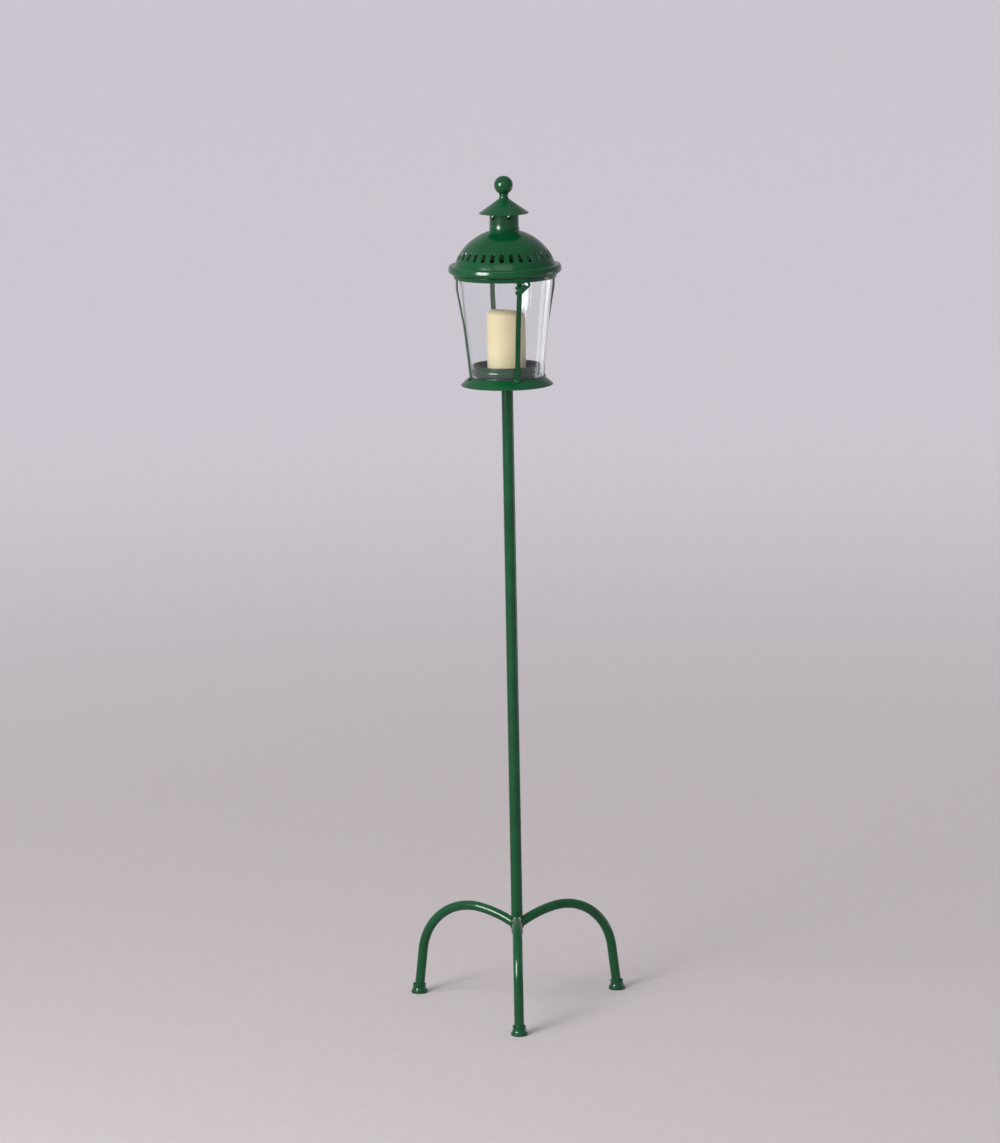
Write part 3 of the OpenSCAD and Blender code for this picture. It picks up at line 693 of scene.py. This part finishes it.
def leg_rows(r, around=40):
    """Rings of (out, up, sideways) points from the leg's lower end to its joint with the pole."""
    thetas = turns(around)
    rows = []
    for k in range(STRAIGHT_STEPS):
        below = STRAIGHT * (1 - k / STRAIGHT_STEPS)
        rows.append([(*leg_place(OUTER_BEND + r * math.cos(a), -below), r * math.sin(a)) for a in thetas])
    for k in range(OUTER_STEPS + 1):
        turn = 90 * k / OUTER_STEPS
        row = []
        for a in thetas:
            reach = OUTER_BEND + r * math.cos(a)
            row.append((*leg_place(reach * cos(turn), reach * sin(turn)), r * math.sin(a)))
        rows.append(row)
    ends = [coped_turn(a, r) for a in thetas]
    for k in range(1, INNER_STEPS + 1):
        rows.append([leg_point(end * k / INNER_STEPS, a, r) for a, end in zip(thetas, ends)])
    return rows


def leg_rings(r, angle):
    """The rings of the leg at a compass angle, in place."""
    out, right = compass(angle), across(angle)
    return [[out * u + right * v + Vector((0, 0, z)) for u, z, v in row] for row in leg_rows(r)]


def leg(side, angle):
    """The bent tube, open at both ends; gives the ring where it meets the pole."""
    outer = leg_rings(LEG_R, angle)
    inner = leg_rings(LEG_R - LEG_WALL, angle)
    piece(f"leg_tube_{side}", *grid(outer + inner[::-1], wrap=True),
          "stand", "green_enamel", [f"leg_{side}"], sharp=50)
    return outer[-1]


def weld(side, seam, phase, sides=10):
    """A rippled bead that follows the joint of leg and pole."""
    count = len(seam)
    centre = sum(seam, Vector()) / count
    rings = []
    for i, p in enumerate(seam):
        along = (seam[(i + 1) % count] - seam[i - 1]).normalized()
        away = p - centre
        away = (away - along * away.dot(along)).normalized()
        from_pole = Vector((p.x, p.y, 0)).normalized()
        lift = (from_pole - along * from_pole.dot(along)).normalized()
        t = 2 * math.pi * i / count + phase
        r = WELD_R * (1 + 0.10 * math.sin(23 * t) + 0.07 * math.sin(41 * t + 1.3))
        mid = p + (away + lift).normalized() * WELD_LIFT
        sideways = along.cross(lift)
        rings.append([mid + lift * (r * math.cos(a)) + sideways * (r * math.sin(a)) for a in turns(sides)])
    piece(f"weld_{side}", *grid(rings, wrap=True), "stand", "green_enamel", sharp=80)


def foot(side, angle):
    """Flared cap with a socket for the leg's end."""
    rim_r, top = width(f"foot_{side}") / 2, high(f"foot_{side}")
    spot = compass(angle) * (LEG_REACH - top / 2 * tan(SPLAY))
    neck = LEG_R + FOOT_WALL
    band_r, socket_r = neck + FOOT_BAND, LEG_R + FOOT_SOCKET_GAP
    profile = rounded([(AXIS, 0), (rim_r, 0, 0.9), (rim_r, 4.0, 1.2), (rim_r - 1.6, 5.4, 0.8)], closed=False)
    profile += [(neck + out, up) for out, up in FOOT_FLARE]
    profile += rounded([(neck, 11.8), (band_r, 12.1, 0.3), (band_r, top, 0.8), (socket_r, top, 0.4),
                        (socket_r, FOOT_FLOOR)], closed=False)[1:]
    profile += [(AXIS, FOOT_FLOOR)]
    piece(f"foot_cap_{side}", *lathe(profile, (spot.x, spot.y), 72),
          "stand", "green_enamel", [f"foot_{side}"])


for side, angle in LEGS.items():
    seam = leg(side, angle)
    weld(side, seam, phase=angle)
    foot(side, angle)

plug_low, plug_high = low("pole_bottom_plug"), high("pole_bottom_plug")
plug_r = bore - 0.1
piece("pole_plug", *lathe(rounded([
    (AXIS, plug_low), (POLE_R, plug_low, 1.2), (POLE_R, pole_low, 0.2), (plug_r, pole_low),
    (plug_r, plug_high, 0.4), (AXIS, plug_high)], closed=False), segments=96),
    "stand", "green_enamel", ["pole_bottom_plug"])

# ---------------------------------------------------------------- base flange, cup, glass

flange_r = width("base_flange") / 2
flat_r = flange_r - BRIM_W
slope = math.atan2(BRIM_DROP, BRIM_W)
brim_low = SEAT - BRIM_DROP
piece("flange_plate", *lathe(rounded([
    (AXIS, SEAT - SHEET), (flat_r - 0.5, SEAT - SHEET, 4), (flange_r - 1.5, brim_low + 0.1, 0.3),
    (flange_r - 0.55, brim_low, 0.35), (flange_r, brim_low + 0.55, 0.35), (flat_r, SEAT, 3.2),
    (AXIS, SEAT)], closed=False), segments=180),
    "stand", "green_enamel", ["base_flange"])

cup_r = width("candle_cup") / 2 - CUP_BEAD_OUT
cup_top = high("candle_cup") - CUP_WALL
cup_in = cup_r - CUP_WALL
cup_foot_r = cup_r - CUP_FOOT_IN
bead_at = SEAT + CUP_H * CUP_BEAD_AT
cup_profile = rounded([
    (AXIS, SEAT), (cup_foot_r, SEAT, 0.6), (cup_foot_r, SEAT + 2.5, 0.6), (cup_r, SEAT + 3.5, 1.4),
    (cup_r, bead_at - CUP_BEAD_HALF)], closed=False)
cup_profile += [(cup_r + out, bead_at + up) for out, up in CUP_BEAD]
cup_profile += [(cup_r, bead_at + CUP_BEAD_HALF), (cup_r, cup_top - 1.6)]
cup_profile += arc(cup_r - CUP_WALL / 2, cup_top, CUP_LIP_R, -45, 215, 14)
cup_profile += rounded([
    (cup_in, cup_top - 1.6), (cup_in, SEAT + 4.5, 1.2), (cup_foot_r - CUP_WALL, SEAT + 3.5, 0.6),
    (cup_foot_r - CUP_WALL, SEAT + CUP_WALL, 0.8), (AXIS, SEAT + CUP_WALL)], closed=False)
piece("cup_pan", *lathe(cup_profile, segments=180), "stand", "green_enamel", ["candle_cup"])

glass_top = high("glass_shade")
glass_top_r = width("glass_shade") / 2
glass_h = glass_top - SEAT
glass_r = glass_top_r - glass_h * tan(GLASS_FLARE)
glass_side = []
for k in range(1, GLASS_STEPS):
    up = glass_h * k / GLASS_STEPS
    glass_side.append((glass_r + up * tan(GLASS_FLARE), SEAT + up))
glass_profile = [(glass_r - GLASS_T, SEAT, GLASS_LIP), (glass_r, SEAT, GLASS_LIP)]
glass_profile += glass_side
glass_profile += [(glass_top_r, glass_top, GLASS_LIP), (glass_top_r - GLASS_T, glass_top, GLASS_LIP)]
glass_profile += [(r - GLASS_T, z) for r, z in glass_side[::-1]]
piece("glass_cone", *lathe(rounded(glass_profile), segments=180),
      "stand", "clear_glass", ["glass_shade"], sharp=60)

# ---------------------------------------------------------------- straps and rivets

ledge_r = width("top_ring") / 2
ledge_z = low("top_ring") + SKIRT_H
ring_r = glass_top_r + STRAP_T + RING_GAP
ring_o = ring_r + SHEET
strap_top_out = ring_r - RING_FIT


def strap_in(z):
    """Distance of a strap's inner face from the axis, beside the glass."""
    return glass_r + STRAP_GAP + (z - SEAT) * tan(GLASS_FLARE)


strap_foot_u = strap_in(SEAT)
strap_foot_z = SEAT - (strap_foot_u - flat_r) * math.tan(slope)
bend_z = ledge_z - STRAP_BEND_DROP
half_t = STRAP_T / 2
side_path = rounded([
    (strap_foot_u + STRAP_FOOT * math.cos(slope) + half_t * math.sin(slope),
     strap_foot_z - STRAP_FOOT * math.sin(slope) + half_t * math.cos(slope)),
    (strap_foot_u + half_t, strap_foot_z + 0.9, 1.3),
    (strap_in(bend_z) + half_t, bend_z, 160),
    (strap_top_out - half_t, bend_z + STRAP_JOGGLE, 30),
    (strap_top_out - half_t, high("strap_front"))], steps=8, closed=False)


def dense(path, step):
    """The path with points no further apart than step."""
    out = [Vector(path[0])]
    for p in path[1:]:
        a, b = out[-1], Vector(p)
        count = max(1, math.ceil((b - a).length / step))
        out += [a.lerp(b, k / count) for k in range(1, count + 1)]
    return out


def strap_half_width(above, walked):
    """Half the strap's width at a height above the seat, walked along it from its rounded foot."""
    half_w = STRAP_W / 2
    if above < TAB_H:
        half_w = TAB_W / 2
    elif above < TAB_H + TAB_TAPER:
        half_w = TAB_W / 2 - (TAB_W - STRAP_W) / 2 * (above - TAB_H) / TAB_TAPER
    reach = TAB_W / 2
    if walked < reach:
        half_w = max(0.25, math.sqrt(max(0, reach ** 2 - (reach - walked) ** 2)))
    return half_w


def strap_rings(angle):
    """Cross-sections of the strap at a compass angle, from its foot up."""
    path = dense(side_path, 2.5)
    out, right = compass(angle), across(angle)
    rings = []
    walked = 0.0
    for i, p in enumerate(path):
        if i:
            walked += (p - path[i - 1]).length
        along = (path[min(i + 1, len(path) - 1)] - path[max(i - 1, 0)]).normalized()
        normal = Vector((along.y, -along.x))
        w = strap_half_width(p.y - SEAT, walked)
        r = min(STRAP_EDGE, w * 0.8)
        corners = rounded([(-w, -half_t, r), (w, -half_t, r), (w, half_t, r), (-w, half_t, r)], 4)
        rings.append([out * (p.x + normal.x * deep) + Vector((0, 0, p.y + normal.y * deep)) + right * wide
                      for wide, deep in corners])
    return rings


for side, turn in STRAPS.items():
    piece(f"strap_bar_{side}", *capped(strap_rings(STRAP_TURN + turn)),
          "stand", "green_enamel", [f"strap_{side}"], sharp=50)


def dome_head(centre, normal, r, h, segments=24, steps=6):
    """A low rivet head on a face, closed at its back."""
    x = normal.orthogonal().normalized()
    y = normal.cross(x)
    rows = []
    for k in range(steps + 1):
        reach, rise = max(0.02, r * cos(90 * k / steps)), h * sin(90 * k / steps)
        rows.append([centre + normal * rise + (x * math.cos(a) + y * math.sin(a)) * reach
                     for a in turns(segments)])
    rows.insert(0, [p - normal * 0.5 for p in rows[0]])
    return capped(rows)


rivet_z = ledge_z - (SKIRT_H + SHEET) / 2
heads_low, heads_high = [], []
for turn in STRAPS.values():
    out = compass(STRAP_TURN + turn)
    up = Vector((0, 0, 1))
    normal = out * math.sin(slope) + up * math.cos(slope)
    reach = STRAP_FOOT * RIVET_AT
    face = (out * (strap_foot_u + reach * math.cos(slope)) + up * (strap_foot_z - reach * math.sin(slope))
            + normal * STRAP_T)
    heads_low.append(dome_head(face, normal, RIVET_R, RIVET_H))
    heads_low.append(dome_head(face - normal * (STRAP_T + SHEET), -normal, *UNDER_RIVET))
    heads_high.append(dome_head(out * ring_o + up * rivet_z, out, RIVET_R, RIVET_H))
    heads_high.append(dome_head(out * (strap_top_out - STRAP_T) + up * rivet_z, -out, *INNER_RIVET))
piece("rivet_heads_low", *join(*heads_low), "stand", "green_enamel", ["strap_foot_rivets"])
piece("rivet_heads_high", *join(*heads_high), "stand", "green_enamel", ["strap_top_rivets"])

# ---------------------------------------------------------------- top ring

skirt_low, collar_top = low("top_ring"), high("top_ring")
piece("ring_band", *lathe(rounded([
    (ring_r, skirt_low, EDGE), (ring_o, skirt_low, EDGE), (ring_o, ledge_z - SHEET, EDGE),
    (ledge_r, ledge_z - SHEET, EDGE), (ledge_r, ledge_z, EDGE), (ring_o, ledge_z, EDGE),
    (ring_o, collar_top, EDGE), (ring_r, collar_top, EDGE)]), segments=180),
    "stand", "green_enamel", ["top_ring"])

# ---------------------------------------------------------------- lid: dome with slots and rolled bead

bead_u = ring_o + BEAD_OVER
bead_z = ledge_z + BEAD_UNDER + BEAD_R
meet_up = math.sqrt(BEAD_R ** 2 - BEAD_MEET ** 2)
dome_r = bead_u + DOME_OVER
dome_z = bead_z + meet_up - math.sqrt(dome_r ** 2 - (bead_u - BEAD_MEET) ** 2)


def border(half_u, v0, v1, across_n, up_n):
    """Points of a sector's border, starting on its right side and running up."""
    vm = (v0 + v1) / 2
    right = [(half_u, vm + (v1 - vm) * k / (up_n / 2)) for k in range(1, up_n // 2 + 1)]
    top = [(half_u - 2 * half_u * k / across_n, v1) for k in range(1, across_n + 1)]
    left = [(-half_u, v1 - (v1 - v0) * k / up_n) for k in range(1, up_n + 1)]
    bottom = [(-half_u + 2 * half_u * k / across_n, v0) for k in range(1, across_n + 1)]
    rest = [(half_u, v0 + (vm - v0) * k / (up_n / 2)) for k in range(1, up_n // 2 + 1)]
    return right + top + left + bottom + rest


def holed_sector(edge, outline, place, thick, soft, rings=4):
    """One sector of a sheet with a hole: outer face, rounded wall and inner face, joined."""
    corner = [(soft * (1 - sin(t)), soft * (1 - cos(t))) for t in (0, 30, 60, 90)]
    walls = corner + [(grow, thick - depth) for grow, depth in corner[::-1]]
    lips = [(outline(grow), depth) for grow, depth in walls]

    def face(lip, depth):
        rows = []
        for k in range(rings):
            f = (k / rings) ** 0.8
            rows.append([place(e[0] + (h[0] - e[0]) * f, e[1] + (h[1] - e[1]) * f, depth)
                         for e, h in zip(edge, lip)])
        return rows

    rows = face(lips[0][0], 0)
    rows += [[place(u, v, depth) for u, v in lip] for lip, depth in lips]
    rows += face(lips[-1][0], thick)[::-1]
    return grid(rows, wrap=False)


def sphere_place(angle):
    def place(u, v, depth):
        a, e = math.radians(angle + u), math.radians(v)
        r = dome_r - depth
        return (r * math.cos(e) * math.sin(a), -r * math.cos(e) * math.cos(a), dome_z + r * math.sin(e))
    return place


def stadium(grow, count):
    """Outline of a slot in its own plane, with its points spread evenly along it."""
    half_w = SLOT_W / 2 + grow
    half_l = (SLOT_L - SLOT_W) / 2
    end = math.pi * half_w
    total = 2 * end + 4 * half_l

    def at(s):
        s %= total
        for length, stretch in ((half_l, 0), (end, 1), (2 * half_l, 2), (end, 3), (half_l, 4)):
            if s <= length:
                break
            s -= length
        if stretch == 0:
            return half_w, s
        if stretch == 1:
            t = s / half_w
            return half_w * math.cos(t), half_l + half_w * math.sin(t)
        if stretch == 2:
            return -half_w, half_l - s
        if stretch == 3:
            t = math.pi + s / half_w
            return half_w * math.cos(t), -half_l + half_w * math.sin(t)
        return half_w, -half_l + s

    return [at(total * (i + 1) / count) for i in range(count)]


SLOT_SECTOR = 360 / SLOTS
SLOT_PHASE = -SLOT_SECTOR / 3
BAND_LOW, BAND_HIGH = SLOT_TILT - SLOT_BAND, SLOT_TILT + SLOT_BAND
slot_border = border(SLOT_SECTOR / 2, BAND_LOW, BAND_HIGH, SLOT_ACROSS, SLOT_UP)


def slot_lip(grow):
    """Edge of a slot on the dome, as (degrees round the axis, degrees up)."""
    points = []
    for y, z in stadium(grow, len(slot_border)):
        x = math.sqrt(dome_r ** 2 - y * y - z * z)
        out = x * cos(SLOT_TILT) - z * sin(SLOT_TILT)
        up = x * sin(SLOT_TILT) + z * cos(SLOT_TILT)
        points.append((math.degrees(math.atan2(y, out)), math.degrees(math.asin(up / dome_r))))
    return points


def on_dome(elevation, depth=0.0):
    r = dome_r - depth
    return r * cos(elevation), dome_z + r * sin(elevation)


def dome_part(profile):
    """Turns an outline so that its first column lies on the border of a slot's sector."""
    return lathe(profile, segments=SLOTS * SLOT_ACROSS, wrap=False, start=SLOT_PHASE - SLOT_SECTOR / 2)


def bead_reach(t):
    """Radius of the bead at angle t: its upper outer quarter is squarer than round and leans."""
    c, s = math.cos(t - BEAD_LEAN), math.sin(t - BEAD_LEAN)
    if c < 0 < s:
        return BEAD_R
    power = BEAD_SQUARE if s > 0 else BEAD_ROUND
    return BEAD_R / (abs(c) ** power + abs(s) ** power) ** (1 / power)


def inner_meet(inner_r):
    """Angle in degrees at which the bead's inner face reaches the dome's inner face."""
    for step in range(1800):
        u, z = arc(bead_u, bead_z, inner_r, step / 10, step / 10, 1)[0]
        if math.hypot(u, z - dome_z) < dome_r - SHEET:
            return step / 10
    return 0.0


def dome_upper():
    """Sheet from the slots' band up to the chimney, outside and inside."""
    hole_r = CHIMNEY_R + 0.1
    top_out = math.degrees(math.acos(hole_r / dome_r))
    top_in = math.degrees(math.acos(hole_r / (dome_r - SHEET)))
    outside = [on_dome(BAND_HIGH + (top_out - BAND_HIGH) * k / 10) for k in range(11)]
    inside = [on_dome(BAND_HIGH + (top_in - BAND_HIGH) * k / 10, SHEET) for k in range(10, -1, -1)]
    return dome_part(outside + inside)


def dome_lower():
    """Sheet from the slots' band down, round the bead and back up inside."""
    meet_e = math.degrees(math.asin((bead_z + meet_up - dome_z) / dome_r))
    meet_turn = math.degrees(math.atan2(meet_up, -BEAD_MEET))
    profile = [on_dome(BAND_LOW + (meet_e - BAND_LOW) * k / 4) for k in range(4)]
    for k in range(37):
        t = math.radians(meet_turn + (-90 - meet_turn) * k / 36)
        reach = bead_reach(t)
        profile.append((bead_u + reach * math.cos(t), bead_z + reach * math.sin(t)))
    inner_r = BEAD_R - SHEET
    inside = inner_meet(inner_r)
    inside_e = math.degrees(math.asin((bead_z + inner_r * sin(inside) - dome_z) / (dome_r - SHEET)))
    profile += arc(bead_u, bead_z, inner_r, -90, inside, 26)
    profile += [on_dome(inside_e + (BAND_LOW - inside_e) * k / 4, SHEET) for k in range(1, 5)]
    return dome_part(profile)


parts = [holed_sector(slot_border, slot_lip, sphere_place(SLOT_PHASE + i * SLOT_SECTOR), SHEET, SLOT_SOFT)
         for i in range(SLOTS)]
parts += [dome_upper(), dome_lower()]
piece("dome_shell", *join(*parts), "lid", "green_enamel", ["lid_dome"], sharp=45)

# ---------------------------------------------------------------- chimney: a tube clinched into the dome

chimney_seat = dome_z + math.sqrt(dome_r ** 2 - CHIMNEY_R ** 2)
cap_z = chimney_seat + CAP_RISE
hole_z = cap_z - HOLE_DROP
chimney_low, chimney_top = low("chimney"), high("chimney")
chimney_in = CHIMNEY_R - CHIMNEY_WALL
HOLE_SECTOR = 360 / HOLES
hole_border = border(HOLE_SECTOR / 2, hole_z - HOLE_BAND, hole_z + HOLE_BAND, HOLE_ACROSS, HOLE_UP)
hole_angles = [math.atan2(v, u) for u, v in border(HOLE_SPREAD, -HOLE_BAND, HOLE_BAND, HOLE_ACROSS, HOLE_UP)]


def hole_lip(grow):
    """Edge of a round hole in the tube, as (degrees round the axis, height)."""
    r = HOLE_D / 2 + grow
    return [(math.degrees(math.asin(r * math.cos(a) / CHIMNEY_R)), hole_z + r * math.sin(a))
            for a in hole_angles]


def tube_place(angle):
    def place(u, v, depth):
        r = CHIMNEY_R - depth
        return (r * sin(angle + u), -r * cos(angle + u), v)
    return place


def chimney_part(profile):
    """Turns an outline so that its first column lies on the border of a hole's sector."""
    return lathe(profile, segments=HOLES * HOLE_ACROSS, wrap=False, start=HOLE_TURN - HOLE_SECTOR / 2)


bead_mid = chimney_seat + CHIMNEY_BEAD
below_holes = [(CHIMNEY_R, hole_z - HOLE_BAND), (CHIMNEY_R, hole_z - 9), (CHIMNEY_R, bead_mid + 1.9)]
below_holes += arc(CHIMNEY_R - 0.6, bead_mid, CHIMNEY_BEAD_R, 62, -62, 10)
below_holes += [(CHIMNEY_R, bead_mid - 1.9), (CHIMNEY_R, chimney_low + 1.6)]
below_holes += [(CHIMNEY_R + 1.5, chimney_low + 0.7), (CHIMNEY_R + 1.6, chimney_low + 0.25)]
below_holes += [(CHIMNEY_R + 1.3, chimney_low), (chimney_in, chimney_low)]
below_holes += [(chimney_in, bead_mid), (chimney_in, hole_z - HOLE_BAND)]
above_holes = [(CHIMNEY_R, hole_z + HOLE_BAND), (CHIMNEY_R, chimney_top - 0.6)]
above_holes += [(CHIMNEY_R - 0.3, chimney_top - 0.1), (chimney_in + 0.2, chimney_top)]
above_holes += [(chimney_in, chimney_top - 0.3), (chimney_in, hole_z + HOLE_BAND)]
parts = [holed_sector(hole_border, hole_lip, tube_place(HOLE_TURN + i * HOLE_SECTOR),
                      CHIMNEY_WALL, HOLE_SOFT, rings=5) for i in range(HOLES)]
parts += [chimney_part(below_holes), chimney_part(above_holes)]
piece("chimney_tube", *join(*parts), "lid", "green_enamel", ["chimney"], sharp=45)

# ---------------------------------------------------------------- cap, neck and ball

cap_r, cap_top = width("chimney_cap") / 2, high("chimney_cap")
cap_t = SHEET / cos(CAP_SLOPE)
CAP_STEPS = 6


def cap_under(u):
    return cap_z + (cap_r - u) * tan(CAP_SLOPE) - cap_t


lip_in, lip_out = cap_r - 1.1, cap_r - 0.3
cap_profile = [(STUD_HOLE, cap_under(NECK_R)), (NECK_R, cap_under(NECK_R))]
for k in range(1, CAP_STEPS):
    u = NECK_R + (lip_in - NECK_R) * k / CAP_STEPS
    cap_profile.append((u, cap_under(u)))
cap_profile += [(lip_in, cap_under(lip_in)), (cap_r - 0.35, cap_z - 0.62), (cap_r - 0.02, cap_z - 0.25)]
cap_profile += [(cap_r, cap_z - 0.05), (lip_out, cap_z + 0.22)]
for k in range(1, CAP_STEPS + 1):
    u = lip_out - (lip_out - NECK_R) * k / CAP_STEPS
    cap_profile.append((u, cap_z + (cap_r - u) * tan(CAP_SLOPE)))
cap_profile += [(STUD_HOLE, cap_top)]
piece("cap_cone", *lathe(cap_profile), "lid", "green_enamel", ["chimney_cap"])

ball_r = width("finial_ball") / 2
ball_z = high("finial_ball") - ball_r
neck_top = ball_z - math.sqrt(ball_r ** 2 - NECK_R ** 2)
waist_h = neck_top - cap_top - 2.7
neck_profile = [(STUD_HOLE, cap_top - 0.05), (NECK_R + 0.6, cap_top - 0.05), (NECK_R + 0.55, cap_top + 0.3),
                (NECK_R, cap_top + 0.9)]
for k in range(1, 8):
    neck_profile.append((NECK_R - NECK_WAIST * sin(180 * k / 8), cap_top + 0.9 + waist_h * k / 8))
neck_profile += arc(NECK_R - 0.75, neck_top - NECK_LIP, NECK_LIP, -60, 75, 8)
neck_profile += [(NECK_R - 1.0, neck_top + 0.58),
                 (STUD_HOLE, ball_z - math.sqrt(ball_r ** 2 - STUD_HOLE ** 2) + 0.3)]
piece("neck_collar", *lathe(neck_profile, segments=96), "lid", "green_enamel", ["finial_neck"])

ball_profile = [(2.9, ball_z - ball_r * 0.9)]
ball_profile += arc(0, ball_z, ball_r, -math.degrees(math.acos(3.3 / ball_r)), 88.5, 44)
ball_profile += [(AXIS, ball_z + ball_r - 0.02), (AXIS, ball_z - ball_r * 0.5), (2.9, ball_z - ball_r * 0.5)]
piece("ball_finial", *lathe(ball_profile, segments=96), "lid", "green_enamel", ["finial_ball"])

# ---------------------------------------------------------------- small fittings, with rounded edges


def softened(node, name, body, soft, slot="green_enamel"):
    """A copy of a CAD node whose sharp edges are rounded."""
    mesh = nodes[node].data.copy()
    mesh.name = name
    obj = bpy.data.objects.new(name, mesh)
    scene.collection.objects.link(obj)
    bm = bmesh.new()
    bm.from_mesh(mesh)
    bmesh.ops.remove_doubles(bm, verts=bm.verts, dist=2e-6)
    bmesh.ops.dissolve_limit(bm, angle_limit=math.radians(1), verts=bm.verts, edges=bm.edges)
    picked = [e for e in bm.edges if len(e.link_faces) == 2 and e.calc_face_angle(0) > math.radians(38)]
    bmesh.ops.bevel(bm, geom=picked, offset=soft * MM, segments=3, profile=0.5, affect="EDGES",
                    clamp_overlap=True)
    bmesh.ops.recalc_face_normals(bm, faces=bm.faces)
    bm.to_mesh(mesh)
    bm.free()
    mesh.shade_smooth()
    mesh.set_sharp_from_angle(angle=math.radians(40))
    mesh.materials.clear()
    mesh.materials.append(MATERIALS[slot])
    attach(obj, body)
    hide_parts(node)


softened("lid_tongue", "tongue_plate", "lid", 0.35)
softened("keeper_stud", "keeper_pin", "lid", 0.3)
softened("catch_plate", "catch_lever", "catch", 0.4)
softened("catch_pivot", "pivot_rivet", "stand", 0.3)
softened("hinge_lid_leaf", "hinge_leaf_lid", "lid", 0.3)
softened("hinge_ring_leaf", "hinge_leaf_ring", "stand", 0.3)
softened("hinge_pin", "hinge_rod", "stand", 0.3, "bare_steel")

# ---------------------------------------------------------------- candle and wick

candle_low, candle_high = low("candle"), high("candle")
candle_r = width("candle") / 2
pool_z = candle_high - POOL_DROP


def candle_rim(a):
    """Height of the melted crest at angle a: highest at the front left, lowest at the back right."""
    tilt = CREST_TILT * math.cos(a - CREST_TURN)
    return candle_high - CREST_MEAN + tilt + 0.25 * math.sin(3 * a + 0.6) - 0.15 * math.cos(5 * a)


def candle_side(a, share):
    """(radius, height) on the side, at a share of the way from the foot to the crest."""
    top = candle_rim(a) - CREST_FALL[0][1] - 1.6
    z = candle_low + CANDLE_FOOT + (top - candle_low - CANDLE_FOOT) * share
    ripple = 0.22 * math.sin(7 * a + z * 0.05) * share ** 2
    return candle_r - CANDLE_IN + ripple, z


def candle_crest(a, inset, fall):
    """(radius, height) on the crest, which runs level into the pool round the wick."""
    z = candle_rim(a) - fall
    if inset > POOL_EDGE:
        f = min(1, (inset - POOL_EDGE) / POOL_BLEND)
        z = z * (1 - f) + pool_z * f
    return candle_r - inset - CANDLE_IN, z


def candle_rings(segments=96):
    angles = turns(segments)
    rows = []
    for r, up in ((0.5, 0.0), (candle_r - 1.5, 0.0), (candle_r - 0.45, 0.35), (candle_r, CANDLE_FOOT)):
        rows.append([(r, candle_low + up)] * segments)
    for k in range(1, CANDLE_LEVELS + 1):
        rows.append([candle_side(a, k / CANDLE_LEVELS) for a in angles])
    for inset, fall in CREST_FALL:
        rows.append([candle_crest(a, inset, fall) for a in angles])
    return [[(r * math.sin(a), -r * math.cos(a), z) for a, (r, z) in zip(angles, row)] for row in rows]


piece("candle_pillar", *capped(candle_rings()), "candle", "candle_wax", ["candle"], sharp=60)


def wick_rings(sides=12):
    """A thin three-stranded thread that leans and curls over at its tip."""
    rings = []
    for k in range(WICK_STEPS + 1):
        t = k / WICK_STEPS
        centre = Vector((2.2 * t * t, -1.2 * t * t, pool_z - 4.5 + 9.0 * t - 1.6 * t ** 3))
        r = WICK_R * (1 - 0.25 * t) if k < WICK_STEPS else 0.35
        ring = []
        for a in turns(sides):
            reach = r * (1 + 0.12 * math.sin(3 * (a + 1.7 * t)))
            ring.append(centre + Vector((math.cos(a) * reach, math.sin(a) * reach, 0)))
        rings.append(ring)
    return rings


piece("wick_thread", *capped(wick_rings()), "candle", "wick", ["wick"], sharp=80)
